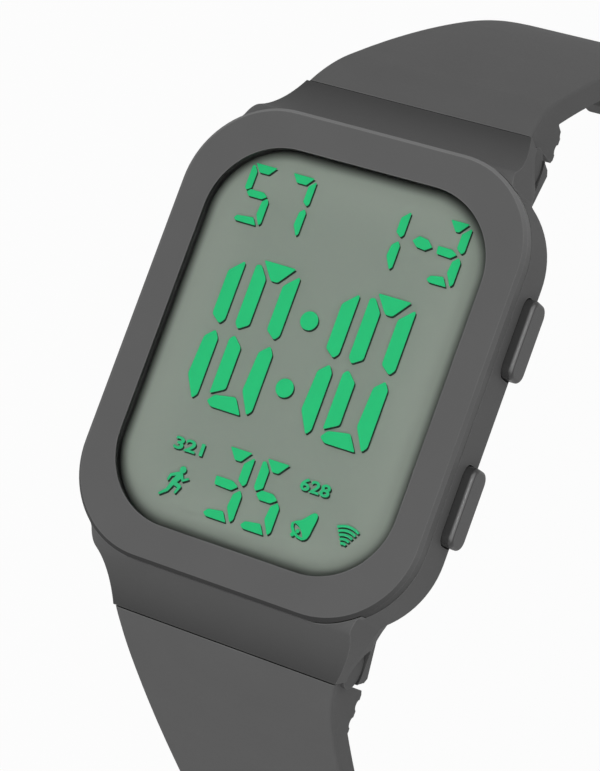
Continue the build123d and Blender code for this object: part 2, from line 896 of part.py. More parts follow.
def strap_taper(foot):
    """The strap's front outline in X and Z: wide at the lug, narrow at the end."""
    crest, flare_end, fade, narrow = zip(strap_half_widths, strap_width_levels)
    slope = (fade[0] - flare_end[0], fade[1] - flare_end[1])
    top, low = (crest[0], crest[1] + overrun), (narrow[0], foot - overrun)
    edges = [
        Line(top, crest),
        TangentArc(flare_end, crest, tangent=(-slope[0], -slope[1])),
        Line(flare_end, fade),
        TangentArc(fade, narrow, tangent=slope),
        Line(narrow, low),
    ]
    edges += [mirror(edge, about=Plane.YZ) for edge in edges]
    edges += [Line(top, (-top[0], top[1])), Line(low, (-low[0], low[1]))]
    return extrude(Plane.XZ * make_face(edges), 2 * hole_strap_length, both=True)


def ear_slots():
    """The pair of slots in the knuckle that pass over the ears."""
    slots = Part()
    for side in (-1, 1):
        middle = side * (ear_inner + ear_outer) / 2
        half = ear_thickness / 2 + ear_gap
        slots += across(ear_radius + ear_gap, middle - half, middle + half, *bar_axis)
        tall = 2 * (knuckle_radius + overrun)
        clear = Box(2 * half, tall, tall, align=(Align.CENTER, Align.MAX, Align.CENTER))
        slots += Pos(middle, bar_reach, bar_height) * clear
    return slots


def strap_blank(stations, total, gap, end):
    """A strap piece before its own details: profile, taper, rounded edges and shoulder."""
    foot = min(station[0][1] for station in stations)
    blank = sideways(strap_profile(stations, total), lug_half_width)
    blank &= strap_taper(foot)
    long_edges = [edge for edge in blank.edges() if runs_along(edge)]
    blank = fillet(long_edges, strap_edge)
    shoulder = sideways(shoulder_profile(stations, total, gap, end), lug_half_width)
    half = lug_half_width - knuckle_recess
    knuckle = across(knuckle_radius, -half, half, *bar_axis)
    return blank + (shoulder & strap_taper(foot)) + knuckle - grip_grooves(gap)


def runs_along(edge):
    """Whether an edge is one of the strap's long side edges beyond the shoulder."""
    start, end = edge @ 0, edge @ 1
    beyond = min(start.Y, end.Y) > strap_crest_reach - corner_tolerance
    aside = min(abs(start.X), abs(end.X)) > strap_half_widths[-1] - corner_tolerance
    same_side = start.X * end.X > 0
    return beyond and aside and same_side and edge.length > strap_thickness + corner_tolerance


def seat_cuts(blank):
    """Cuts the ear slots and the spring bar's bore, which opens at 9 o'clock only."""
    blank -= ear_slots()
    return blank - across(tube_radius + strap_bore_gap, -lug_half_width, ear_inner, *bar_axis)


def grip_grooves(gap):
    """The cross grooves that leave low ribs under the strap's shoulder."""
    start = tail_reach + gap + shoulder_tuck
    grooves = Part()
    for place in grip_places:
        grooves += across(grip_radius, -lug_half_width, lug_half_width, start + place, shoulder_low)
    return grooves


def buckle_strap_stations():
    """Stations of the outer face of the strap piece with the buckle."""
    lengths = [share * buckle_strap_length for share in buckle_strap_shares]
    start = (strap_crest_reach, strap_crest_height)
    return walk(start, buckle_strap_heading, lengths, buckle_strap_turns)


def hole_strap_stations():
    """Stations of the outer face of the strap piece with the holes."""
    lengths = [share * hole_strap_length for share in hole_strap_shares]
    start = (strap_crest_reach, strap_crest_height)
    return walk(start, hole_strap_heading, lengths, hole_strap_turns)


def buckle_axis():
    """Where the buckle's pin crosses the side view."""
    point, heading, _ = buckle_strap_stations()[-1]
    return polar(point, strap_eye_radius, heading - 90)


def floor_level():
    """The height of the surface on which the open strap stands."""
    return min(station[0][1] for station in hole_strap_stations())


def make_upper_strap():
    """The strap piece at 12 o'clock, which ends in an eye for the buckle's pin."""
    stations = buckle_strap_stations()
    strap = strap_blank(stations, buckle_strap_length, buckle_shoulder_gap, buckle_shoulder_end)
    half = strap_half_widths[-1]
    strap += across(strap_eye_radius, -half, half, *buckle_axis())
    strap -= across(buckle_pin_radius + buckle_pin_gap, -lug_half_width, lug_half_width, *buckle_axis())
    slot = Box(tongue_width + 2 * tongue_gap, 2 * tongue_slot, 2 * tongue_slot)
    strap -= Pos(0, *buckle_axis()) * slot
    return seat_cuts(strap)


def make_lower_strap():
    """The strap piece at 6 o'clock, with the row of adjusting holes."""
    stations = hole_strap_stations()
    strap = strap_blank(stations, hole_strap_length, hole_shoulder_gap, hole_shoulder_end)
    opening = extrude(SlotOverall(hole_length, hole_width), 2 * strap_thickness, both=True)
    for step in range(hole_count):
        strap -= strap_frame(stations, first_hole + step * hole_pitch) * opening
    strap -= tip_corners(stations[-1][0][0])
    return mirror(seat_cuts(strap), about=Plane.XZ)


def tip_corners(reach):
    """What is cut from the strap's end to leave a rounded tip, for an end at a reach."""
    half = strap_half_widths[-1]
    base = reach + tip_length
    outline = [
        Line((-half, base), (-half, reach - overrun)),
        Line((-half, reach - overrun), (half, reach - overrun)),
        Line((half, reach - overrun), (half, base)),
        ThreePointArc((half, base), (0, reach), (-half, base)),
    ]
    height = 2 * strap_thickness
    return Pos(0, 0, floor_level() - overrun) * extrude(make_face(outline), height)


# Buckle and keeper

def frame_half_width():
    """Half the inner width of the buckle's frame."""
    return strap_half_widths[-1] + frame_clearance


def make_buckle_frame():
    """The frame, hanging from its pin, with its far bar standing on the floor."""
    reach = buckle_axis()[1] - floor_level()
    inner = frame_half_width()
    outer = inner + frame_bar
    plan = Rectangle(2 * outer, reach + frame_back, align=(Align.CENTER, Align.MIN))
    plan = fillet(plan.vertices(), frame_back)
    opening = Rectangle(2 * inner, reach + frame_back, align=(Align.CENTER, Align.MIN))
    opening = Pos(0, -frame_bar) * opening
    opening = fillet(opening.vertices().sort_by(Axis.Y)[-2:], frame_corner)
    flat = Pos(0, -frame_back) * (plan - opening)
    frame = heading_plane(buckle_axis(), -90) * extrude(flat, frame_thickness / 2, both=True)
    return frame - across(buckle_pin_radius, -outer, outer, *buckle_axis())


def make_buckle_pin():
    """The plain pin that frame, strap and tongue hang on."""
    outer = frame_half_width() + frame_bar
    return across(buckle_pin_radius, -outer, outer, *buckle_axis())


def make_buckle_tongue():
    """The tongue, hung on the pin and resting on the far bar of the frame."""
    reach = buckle_axis()[1] - floor_level()
    rest = frame_thickness / 2 + tongue_rest
    tip = reach - tongue_short
    bend = reach - 2 * frame_bar
    outline = Polyline(
        (0, tongue_eye_radius), (0, 0), (bend, rest), (tip, rest),
        (tip, rest + tongue_thickness / 2), (bend, rest + tongue_thickness), close=True)
    side = Plane((0, *buckle_axis()), x_dir=(0, 0, -1), z_dir=(1, 0, 0))
    bar = extrude(side * make_face(outline), tongue_width / 2, both=True)
    eye = across(tongue_eye_radius, -tongue_width / 2, tongue_width / 2, *buckle_axis())
    bore = across(buckle_pin_radius + buckle_pin_gap, -tongue_width, tongue_width, *buckle_axis())
    return bar + eye - bore


def make_strap_keeper():
    """The free loop that holds the strap's end, round the piece with the buckle."""
    thickness = thickness_at(keeper_place / buckle_strap_length)
    inner_width = 2 * (strap_half_widths[-1] + keeper_gap)
    inner_height = thickness + keeper_gap + keeper_slack
    band = RectangleRounded(inner_width + 2 * keeper_wall, inner_height + 2 * keeper_wall, keeper_wall)
    band -= Rectangle(inner_width, inner_height)
    point, heading = station_at(buckle_strap_stations(), keeper_place)
    centre = polar(point, keeper_gap / 2 - inner_height / 2, heading + 90)
    turn = math.radians(heading)
    section = Plane((0, *centre), x_dir=(1, 0, 0), z_dir=(0, math.cos(turn), math.sin(turn)))
    return extrude(section * band, keeper_length / 2, both=True)


if __name__ == "__main__":
    os.makedirs("parts", exist_ok=True)
    upper, lower = button_places
    pieces = {
        "case_body": make_case_body(),
        "bezel": make_bezel(),
        "lens": make_lens(),
        "lens_gasket": make_lens_gasket(),
        "lcd_panel": make_lcd_panel(),
        "lcd_reflector": make_lcd_reflector(),
        "backlight_panel": make_backlight_panel(),
        "contact_strips": make_contact_strips(),
        "module_frame": make_module_frame(),
        "circuit_board": make_circuit_board(),
        "chip_cover": make_chip_cover(),
        "quartz_crystal": make_quartz_crystal(),
        "boost_coil": make_boost_coil(),
        "board_capacitors": make_board_capacitors(),
        "upper_contact": make_button_contact(upper),
        "lower_contact": make_button_contact(lower),
        "battery_insulator": make_battery_insulator(),
        "coin_battery": make_coin_battery(),
        "battery_clip": make_battery_clip(),
        "sounder_spring": make_sounder_spring(),
        "piezo_disc": make_piezo_disc(),
        "case_back": make_case_back(),
        "case_back_gasket": make_case_back_gasket(),
        "case_back_screws": make_case_back_screws(),
        "upper_button": make_button(upper),
        "lower_button": make_button(lower),
        "upper_button_seal": make_button_seal(upper),
        "lower_button_seal": make_button_seal(lower),
        "upper_button_clip": make_button_clip(upper),
        "lower_button_clip": make_button_clip(lower),
        "upper_button_spring": make_button_spring(upper),
        "lower_button_spring": make_button_spring(lower),
        "upper_bar_tube": make_bar_tube(),
        "lower_bar_tube": mirror(make_bar_tube(), about=Plane.XZ),
        "upper_bar_tip_right": make_bar_tip(1),
        "upper_bar_tip_left": make_bar_tip(-1),
        "lower_bar_tip_right": mirror(make_bar_tip(1), about=Plane.XZ),
        "lower_bar_tip_left": mirror(make_bar_tip(-1), about=Plane.XZ),
        "upper_bar_spring": make_bar_spring(),
        "lower_bar_spring": mirror(make_bar_spring(), about=Plane.XZ),
        "upper_strap": make_upper_strap(),
        "lower_strap": make_lower_strap(),
        "strap_keeper": make_strap_keeper(),
        "buckle_frame": make_buckle_frame(),
        "buckle_pin": make_buckle_pin(),
        "buckle_tongue": make_buckle_tongue(),
    }
    for name, piece in pieces.items():
        export_step(piece, f"parts/{name}.step")
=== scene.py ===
"""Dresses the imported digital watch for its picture: finishes, display segments and studio."""

import logging
import math
from collections.abc import Callable
from dataclasses import dataclass, field
from enum import Enum

import bpy
from mathutils import Matrix, Vector

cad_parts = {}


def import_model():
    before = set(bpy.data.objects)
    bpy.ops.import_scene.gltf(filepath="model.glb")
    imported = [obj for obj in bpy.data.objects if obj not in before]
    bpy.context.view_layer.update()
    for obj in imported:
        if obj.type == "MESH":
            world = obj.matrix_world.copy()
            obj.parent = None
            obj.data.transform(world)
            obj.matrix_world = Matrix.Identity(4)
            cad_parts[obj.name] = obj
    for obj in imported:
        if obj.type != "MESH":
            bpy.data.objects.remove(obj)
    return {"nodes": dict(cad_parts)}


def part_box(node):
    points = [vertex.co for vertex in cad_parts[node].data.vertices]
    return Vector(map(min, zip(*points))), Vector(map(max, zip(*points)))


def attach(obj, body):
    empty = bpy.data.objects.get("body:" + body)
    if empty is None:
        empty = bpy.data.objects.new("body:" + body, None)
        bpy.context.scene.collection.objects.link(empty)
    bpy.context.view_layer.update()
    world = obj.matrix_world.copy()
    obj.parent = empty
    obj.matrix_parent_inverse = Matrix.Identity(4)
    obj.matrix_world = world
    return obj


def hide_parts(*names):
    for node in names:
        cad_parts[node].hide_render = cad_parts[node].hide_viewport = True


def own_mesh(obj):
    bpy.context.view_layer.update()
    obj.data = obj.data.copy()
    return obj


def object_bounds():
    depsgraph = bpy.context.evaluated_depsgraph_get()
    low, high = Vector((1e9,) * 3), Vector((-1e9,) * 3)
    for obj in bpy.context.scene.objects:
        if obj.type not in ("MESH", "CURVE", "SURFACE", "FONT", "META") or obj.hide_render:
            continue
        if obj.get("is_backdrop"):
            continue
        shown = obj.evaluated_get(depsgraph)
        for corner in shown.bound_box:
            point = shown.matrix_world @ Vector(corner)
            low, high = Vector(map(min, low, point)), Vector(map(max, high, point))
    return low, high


LOG = logging.getLogger("digital_watch")
MM = 0.001

Point = tuple[float, float]
Points = tuple[Point, ...]
Outline = list[Point]
Place = tuple[float, float, float]
Colour = tuple[float, float, float, float]
Item = bpy.types.Object
Tree = bpy.types.NodeTree
Node = bpy.types.Node
Socket = bpy.types.NodeSocket
Material = bpy.types.Material


def linear(code: str) -> Colour:
    """Turns an sRGB hex value into a linear colour.

    Args:
        code: Six hex digits.

    Returns:
        Red, green, blue and an alpha of one.
    """
    values = [int(code[i:i + 2], 16) / 255 for i in (0, 2, 4)]
    red, green, blue = (v / 12.92 if v <= 0.04045 else ((v + 0.055) / 1.055) ** 2.4 for v in values)
    return red, green, blue, 1.0


def tones(code: str, dark: float, light: float = 1.0) -> tuple[Colour, Colour]:
    """A darker and a lighter tone of one colour.

    Args:
        code: The colour's hex digits.
        dark: The darker tone's share of it.
        light: The lighter tone's share of it.

    Returns:
        Both tones, linear.
    """
    red, green, blue, _ = linear(code)
    return tuple((red * share, green * share, blue * share, 1.0) for share in (dark, light))


def per_metre(size_mm: float) -> float:
    """The texture scale at which one cell of a pattern is this many millimetres."""
    return 1 / (size_mm * MM)


def wave_scale(period_mm: float) -> float:
    """The Wave texture's scale, which it takes twentyfold, for waves of this many millimetres."""
    return per_metre(period_mm) * math.tau / 20


def add_node(tree: Tree, kind: str, inputs: dict | None = None) -> Node:
    """Adds one shader node with its settings and the links into it.

    Args:
        tree: The node tree.
        kind: The node's type name, without the ShaderNode that each starts with.
        inputs: Node properties and input values by name, and for each link the socket that
            feeds the input, or the node whose first output does.

    Returns:
        The new node.
    """
    node = tree.nodes.new("ShaderNode" + kind)
    for name, value in (inputs or {}).items():
        if isinstance(value, (Node, Socket)):
            tree.links.new(value if isinstance(value, Socket) else value.outputs[0], node.inputs[name])
        elif isinstance(name, str) and hasattr(node, name):
            setattr(node, name, value)
        else:
            node.inputs[name].default_value = value
    return node


def textured(tree: Tree, pattern: Node | Socket, colour: Socket, roughness: Point, relief: Point,
             settings: dict | None = None) -> Node:
    """A surface whose roughness and bump follow one pattern.

    Args:
        tree: The node tree.
        pattern: The pattern, from zero to one.
        colour: The base colour.
        roughness: Roughness at the pattern's lowest and highest values.
        relief: Strength of the bump, and its depth in millimetres.
        settings: The shader's other values.

    Returns:
        The shader.
    """
    rough = add_node(tree, "MapRange", {"To Min": roughness[0], "To Max": roughness[1], "Value": pattern})
    bump = add_node(tree, "Bump", {"Strength": relief[0], "Distance": relief[1] * MM, "Height": pattern})
    return add_node(tree, "BsdfPrincipled", {
        **(settings or {}), "Base Color": colour, "Roughness": rough, "Normal": bump})


def edge_wear(tree: Tree, reach_mm: float, patches: Node, share: float) -> Node:
    """How far a place beside an edge is rubbed paler, broken up in patches.

    Args:
        tree: The node tree.
        reach_mm: How far from the edge the wear reaches.
        patches: The noise that thins the wear out.
        share: The wear on the edge itself.

    Returns:
        The node that gives it, from zero to the given share.
    """
    flat, sharp = 0.995, 0.9  # how well the rounded normal agrees with the true one
    sparse, dense, least = 0.3, 0.6, 0.4  # the noise's range, and the wear that its low end leaves
    rounded = add_node(tree, "Bevel", {"samples": 6, "Radius": reach_mm * MM})
    flatness = add_node(tree, "VectorMath", {
        "operation": "DOT_PRODUCT", 0: rounded.outputs["Normal"],
        1: add_node(tree, "NewGeometry").outputs["Normal"]})
    near = add_node(tree, "MapRange", {
        "From Min": flat, "From Max": sharp, "To Max": share, "Value": flatness.outputs["Value"]})
    thinned = add_node(tree, "MapRange", {
        "From Min": sparse, "From Max": dense, "To Min": least, "Value": patches})
    return add_node(tree, "Math", {"operation": "MULTIPLY", 0: near, 1: thinned})


@dataclass(frozen=True)
class Finish:
    """A finish: a material named for what it is, around the shader of its kind."""

    name: str

    def shader(self, tree: Tree) -> Node:
        """Builds the shader: a plain one here, and each kind of finish has its own.

        Args:
            tree: The node tree.

        Returns:
            The shader.
        """
        return add_node(tree, "BsdfPrincipled")

    def make(self) -> Material:
        """Builds the material.

        Returns:
            The material.
        """
        material = bpy.data.materials.new(self.name)
        material.use_nodes = True
        material.node_tree.nodes.clear()
        shader = self.shader(material.node_tree)
        add_node(material.node_tree, "OutputMaterial", {"Surface": shader})
        return material


@dataclass(frozen=True)
class MouldedResin(Finish):
    """Injection-moulded resin: even and matt, with the fine grain of a spark-eroded mould."""

    colour: str
    roughness: float = 0.55
    grain_mm: float = 0.22  # about 0.05 mm in the mould, drawn coarser so that it shows
    grain_depth_mm: float = 0.004
    clouding_mm: float = 6.0
    clouding: float = 0.05
    shine: float = 0.5
    wear_mm: float = 0.2
    wear: float = 0.14
    wear_and_highlight_colour: str = "B0B0B0"

    def shader(self, tree: Tree) -> Node:
        """Builds the shader: clouded, rubbed along its edges and grained.

        Args:
            tree: The node tree.

        Returns:
            The shader.
        """
        place = add_node(tree, "TexCoord").outputs["Object"]
        cloud = add_node(tree, "TexNoise", {
            "Scale": per_metre(self.clouding_mm), "Detail": 3.0, "Vector": place})
        grain = add_node(tree, "TexNoise", {
            "Scale": per_metre(self.grain_mm), "Detail": 2.0, "Vector": place})
        low, high = tones(self.colour, 1 - self.clouding, 1 + self.clouding)
        tint = add_node(tree, "Mix", {"data_type": "RGBA", 6: low, 7: high, "Factor": cloud})
        rubbed = add_node(tree, "Mix", {
            "data_type": "RGBA", 7: linear(self.wear_and_highlight_colour),
            "Factor": edge_wear(tree, self.wear_mm, cloud, self.wear), 6: tint.outputs[2]})
        return textured(tree, grain, self.shaded(tree, place, rubbed.outputs[2]),
                        (self.roughness - 0.05, self.roughness + 0.05), (0.6, self.grain_depth_mm),
                        {"Specular IOR Level": self.shine})

    def shaded(self, tree: Tree, place: Socket, colour: Socket) -> Socket:
        """The colour after any painted shade and painted light: none on a plain moulding.

        Args:
            tree: The node tree.
            place: The Object coordinates.
            colour: The colour so far.

        Returns:
            The colour to use.
        """
        return colour


@dataclass(frozen=True)
class HoodedResin(MouldedResin):
    """Moulded resin with painted shade on the hoods' upward faces, deepening in their scoops towards the
    strap.
    """

    scoop_start: float = 22.0 * MM
    scoop_end: float = 27.9 * MM
    scoop_shade: float = 0.52
    upward: Point = (0.15, 0.35)

    def shaded(self, tree: Tree, place: Socket, colour: Socket) -> Socket:
        """Paints shade on the upward faces of both hoods along the case.

        Args:
            tree: The node tree.
            place: The Object coordinates.
            colour: The colour so far.

        Returns:
            The colour, darkened by painted shade.
        """
        size = add_node(tree, "VectorMath", {"operation": "ABSOLUTE", 0: place})
        spread = add_node(tree, "SeparateXYZ", {0: size})
        along = add_node(tree, "MapRange", {
            "From Min": self.scoop_start, "From Max": self.scoop_end, "Value": spread.outputs["Y"]})
        facing = add_node(tree, "SeparateXYZ", {0: add_node(tree, "NewGeometry").outputs["Normal"]})
        upward = add_node(tree, "MapRange", {
            "From Min": self.upward[0], "From Max": self.upward[1], "Value": facing.outputs["Z"]})
        # painted shade: deepest towards the strap, on upward faces only
        share = add_node(tree, "Math", {"operation": "MULTIPLY", 0: along, 1: upward})
        depth = add_node(tree, "Math", {"operation": "MULTIPLY", 1: self.scoop_shade, 0: share})
        darker = add_node(tree, "Mix", {
            "data_type": "RGBA", "blend_type": "MULTIPLY", 7: linear("000000"), "Factor": depth, 6: colour})
        return darker.outputs[2]


@dataclass(frozen=True)
class BezelResin(MouldedResin):
    """The bezel's moulded resin: painted shade blackens the window's wall, and the chamfer has a painted
    highlight towards 12 o'clock and painted shade towards 6 o'clock.
    """

    window_reach: Point = (15.6 * MM, 19.9 * MM)
    wall_shade_colour: str = "0B0C0C"
    chamfer_painted_shade: float = 0.12
    chamfer_painted_light: float = 1.6
    chamfer_slope: float = 0.7
    steepness: Point = (0.97, 0.9)

    def shaded(self, tree: Tree, place: Socket, colour: Socket) -> Socket:
        """Paints black shade on the wall of the window, and paints the chamfer from shade at 6 o'clock to a
        highlight at 12 o'clock.

        Args:
            tree: The node tree.
            place: The Object coordinates.
            colour: The colour so far.

        Returns:
            The graded colour.
        """
        facing = add_node(tree, "SeparateXYZ", {0: add_node(tree, "NewGeometry").outputs["True Normal"]})
        steep = add_node(tree, "MapRange", {
            "From Min": self.steepness[0], "From Max": self.steepness[1], "Value": facing.outputs["Z"]})
        # painted light and shade on the chamfer: darker where it faces 6 o'clock, lighter where it faces 12
        # o'clock
        grade = add_node(tree, "MapRange", {
            "From Min": -self.chamfer_slope, "From Max": self.chamfer_slope, "To Min": self.chamfer_painted_shade,
            "To Max": self.chamfer_painted_light, "Value": facing.outputs["Y"]})
        factor = add_node(tree, "Mix", {"data_type": "FLOAT", 2: 1.0, 0: steep, 3: grade})
        graded = add_node(tree, "VectorMath", {"operation": "SCALE", 0: colour, "Scale": factor})
        size = add_node(tree, "VectorMath", {"operation": "ABSOLUTE", 0: place})
        spread = add_node(tree, "SeparateXYZ", {0: size})
        wall = steep
        for axis, reach in zip("XY", self.window_reach):
            inside = add_node(tree, "Math", {"operation": "LESS_THAN", 1: reach, 0: spread.outputs[axis]})
            wall = add_node(tree, "Math", {"operation": "MULTIPLY", 0: wall, 1: inside})
        # painted shade: the window's steep wall turns nearly black
        blackened = add_node(tree, "Mix", {
            "data_type": "RGBA", 7: linear(self.wall_shade_colour), "Factor": wall, 6: graded})
        return blackened.outputs[2]


@dataclass(frozen=True)
class PolishedResin(Finish):
    """Resin from a mirror-finished mould: glossy, a trace of orange peel, and a painted highlight on the
    crest.
    """

    colour: str
    wear_and_highlight_colour: str = "707070"
    highlight_facing: Place = (0.6, 0.0, 0.8)
    highlight_from: float = 0.8
    roughness: float = 0.16
    ripple_mm: float = 0.9
    ripple_depth_mm: float = 0.002

    def shader(self, tree: Tree) -> Node:
        """Builds the shader: rippled, with a painted highlight on the crest between top and side.

        Args:
            tree: The node tree.

        Returns:
            The shader.
        """
        ripple = add_node(tree, "TexNoise", {
            "Scale": per_metre(self.ripple_mm), "Detail": 2.0,
            "Vector": add_node(tree, "TexCoord").outputs["Object"]})
        # painted highlight: paler where the surface turns up and outwards along the crest
        facing = add_node(tree, "VectorMath", {
            "operation": "DOT_PRODUCT", 1: self.highlight_facing,
            0: add_node(tree, "NewGeometry").outputs["Normal"]})
        wear_and_highlight = add_node(tree, "MapRange", {
            "interpolation_type": "SMOOTHSTEP", "From Min": self.highlight_from, "From Max": 1.0,
            "Value": facing.outputs["Value"]})
        tint = add_node(tree, "Mix", {
            "data_type": "RGBA", 6: linear(self.colour), 7: linear(self.wear_and_highlight_colour), "Factor": wear_and_highlight})
        return textured(tree, ripple, tint.outputs[2],
                        (self.roughness - 0.03, self.roughness + 0.04), (0.5, self.ripple_depth_mm))


@dataclass(frozen=True)
class ClearGlass(Finish):
    """Mineral glass, ground and polished: clear, and lamps light what is behind it."""

    body_colour: str = "FBFDFB"
    shadow_colour: str = "F6F9F6"
    ior: float = 1.5

    def shader(self, tree: Tree) -> Node:
        """Builds the shader: glass to the eye, and see-through to the lamps.

        Args:
            tree: The node tree.

        Returns:
            The shader.
        """
        glass = add_node(tree, "BsdfPrincipled", {
            "Base Color": linear(self.body_colour), "Roughness": 0.0, "IOR": self.ior,
            "Transmission Weight": 1.0})
        clear = add_node(tree, "BsdfTransparent", {"Color": linear(self.shadow_colour)})
        rays = add_node(tree, "LightPath")
        return add_node(tree, "MixShader", {0: rays.outputs["Is Shadow Ray"], 1: glass, 2: clear})


@dataclass(frozen=True)
class DisplayGround(Finish):
    """The display's polarising film: a matt grey-green field, a little paler towards its edge as painted
    light, and a soft painted shade round its edge.
    """

    colour: str
    middle_colour: str
    edge_shade_colour: str
    half_width: float
    half_length: float
    corner: float
    edge_shade_mm: float
    edge_shade_middle: Place
    speckle_mm: float = 0.15  # about 0.03 mm on a real film, drawn coarser so that it shows
    roughness: Point = (0.45, 0.6)

    def shader(self, tree: Tree) -> Node:
        """Builds the shader: how far a place lies in the rounded corner gives its colour and its painted
        shade.

        Args:
            tree: The node tree.

        Returns:
            The shader.
        """
        place = reach = add_node(tree, "TexCoord").outputs["Object"]
        core = (self.half_width - self.corner, self.half_length - self.corner, 1.0)
        for step in ({"operation": "SUBTRACT", 1: self.edge_shade_middle}, {"operation": "ABSOLUTE"},
                     {"operation": "SUBTRACT", 1: core}, {"operation": "MAXIMUM", 1: (0.0, 0.0, 0.0)}):
            reach = add_node(tree, "VectorMath", {**step, 0: reach}).outputs[0]
        reach = add_node(tree, "VectorMath", {"operation": "LENGTH", 0: reach}).outputs["Value"]
        starts = (0.0, self.corner - self.edge_shade_mm * MM)
        spread, edge = [add_node(tree, "MapRange", {
            "interpolation_type": "SMOOTHSTEP", "From Min": start, "From Max": self.corner,
            "Value": reach}) for start in starts]
        # the edge tone is paler than the middle: painted light against the shade near the bezel
        ground = add_node(tree, "Mix", {
            "data_type": "RGBA", 6: linear(self.middle_colour), 7: linear(self.colour), "Factor": spread})
        # painted shade: a soft dark band round the edge, where the bezel shades the film
        edge_shaded = add_node(tree, "Mix", {
            "data_type": "RGBA", 7: linear(self.edge_shade_colour), "Factor": edge, 6: ground.outputs[2]})
        speckle = add_node(tree, "TexNoise", {
            "Scale": per_metre(self.speckle_mm), "Detail": 1.0, "Vector": place})
        rough = add_node(tree, "MapRange", {
            "To Min": self.roughness[0], "To Max": self.roughness[1], "Value": speckle})
        return add_node(tree, "BsdfPrincipled", {
            "Specular IOR Level": 0.2, "Base Color": edge_shaded.outputs[2], "Roughness": rough})


@dataclass(frozen=True)
class SegmentInk(Finish):
    """A lit segment: an even, bright field of coloured crystal, with a painted glow."""

    colour: str
    roughness: float = 0.5
    painted_glow: float = 0.0
    clouding_mm: float = 3.0
    clouding: float = 0.03

    def shader(self, tree: Tree) -> Node:
        """Builds the shader: almost even, with a painted glow, though a segment is no lamp.

        Args:
            tree: The node tree.

        Returns:
            The shader.
        """
        cloud = add_node(tree, "TexNoise", {
            "Scale": per_metre(self.clouding_mm), "Detail": 1.0,
            "Vector": add_node(tree, "TexCoord").outputs["Object"]})
        low, high = tones(self.colour, 1 - self.clouding, 1 + self.clouding)
        tint = add_node(tree, "Mix", {"data_type": "RGBA", 6: low, 7: high, "Factor": cloud})
        return add_node(tree, "BsdfPrincipled", {
            "Roughness": self.roughness, "Specular IOR Level": 0.1, "Emission Color": linear(self.colour),
            "Emission Strength": self.painted_glow, "Base Color": tint.outputs[2]})


class Brushing(Enum):
    """Which way the fine scratches of a metal run."""

    ALONG_X = (0.04, 1.0, 1.0)
    ALONG_Y = (1.0, 0.04, 1.0)
    ALONG_Z = (1.0, 1.0, 0.04)
    EVEN = (1.0, 1.0, 1.0)


@dataclass(frozen=True)
class BrushedMetal(Finish):
    """A metal with fine scratches one way, as a belt or a drawing die leaves them."""

    colour: str
    roughness: float = 0.3
    brushing: Brushing = Brushing.EVEN
    scratch_mm: float = 0.12  # about 0.02 mm on the real sheet, drawn coarser so that it shows
    scratch_depth_mm: float = 0.002
    scratch_tone: float = 0.86
    wear_mm: float = 0.12
    wear: float = 0.6

    def shader(self, tree: Tree) -> Node:
        """Builds the shader: scratched, and brighter where edges are rubbed.

        Args:
            tree: The node tree.

        Returns:
            The shader.
        """
        squeezed = add_node(tree, "Mapping", {
            "Scale": self.brushing.value, "Vector": add_node(tree, "TexCoord").outputs["Object"]})
        scratch = add_node(tree, "TexNoise", {
            "Scale": per_metre(self.scratch_mm), "Detail": 4.0, "Roughness": 0.65, "Vector": squeezed})
        wear_and_highlight = add_node(tree, "Math", {
            "operation": "ADD", "use_clamp": True, 0: scratch,
            1: edge_wear(tree, self.wear_mm, scratch, self.wear)})
        dark, light = tones(self.colour, self.scratch_tone)
        tint = add_node(tree, "Mix", {"data_type": "RGBA", 6: dark, 7: light, "Factor": wear_and_highlight})
        return textured(tree, scratch, tint.outputs[2],
                        (self.roughness - 0.08, self.roughness + 0.12), (0.5, self.scratch_depth_mm),
                        {"Metallic": 1.0})


@dataclass(frozen=True)
class TurnedSteel(Finish):
    """Stainless sheet brushed in circles on a lathe, as watch backs are: bright rings."""

    colour: str
    ring_mm: float = 0.5  # about 0.1 mm on a real back, drawn coarser so that it shows
    ring_depth_mm: float = 0.003
    wobble_mm: float = 4.0
    wobble_tone: float = 0.9
    roughness: float = 0.28

    def shader(self, tree: Tree) -> Node:
        """Builds the shader: rings round the back's middle.

        Args:
            tree: The node tree.

        Returns:
            The shader.
        """
        place = add_node(tree, "TexCoord").outputs["Object"]
        wobble = add_node(tree, "TexNoise", {
            "Scale": per_metre(self.wobble_mm), "Detail": 2.0, "Vector": place})
        rings = add_node(tree, "TexWave", {
            "wave_type": "RINGS", "rings_direction": "Z", "Scale": wave_scale(self.ring_mm),
            "Distortion": 1.5, "Detail": 3.0, "Vector": place})
        dark, light = tones(self.colour, self.wobble_tone)
        tint = add_node(tree, "Mix", {"data_type": "RGBA", 6: dark, 7: light, "Factor": wobble})
        return textured(tree, rings.outputs["Fac"], tint.outputs[2],
                        (self.roughness - 0.06, self.roughness + 0.12), (0.4, self.ring_depth_mm),
                        {"Metallic": 1.0})


@dataclass(frozen=True)
class SolderMask(Finish):
    """A glass-epoxy board: green lacquer over copper tracks that stand a little proud."""

    colour: str = "17573A"
    track_colour: str = "2B7A50"
    track_mm: float = 1.4
    track_height_mm: float = 0.03

    def shader(self, tree: Tree) -> Node:
        """Builds the shader: paler where copper lies under the lacquer.

        Args:
            tree: The node tree.

        Returns:
            The shader.
        """
        tracks = add_node(tree, "TexBrick", {
            "Scale": per_metre(self.track_mm) / 2, "Mortar Size": 0.06, "Mortar Smooth": 0.1,
            "Color1": linear(self.colour), "Color2": linear(self.colour), "Mortar": linear(self.track_colour),
            "Vector": add_node(tree, "TexCoord").outputs["Object"]})
        bump = add_node(tree, "Bump", {
            "Strength": 0.5, "Distance": self.track_height_mm * MM, "Height": tracks.outputs["Fac"]})
        return add_node(tree, "BsdfPrincipled", {
            "Roughness": 0.3, "Base Color": tracks.outputs["Color"], "Normal": bump})


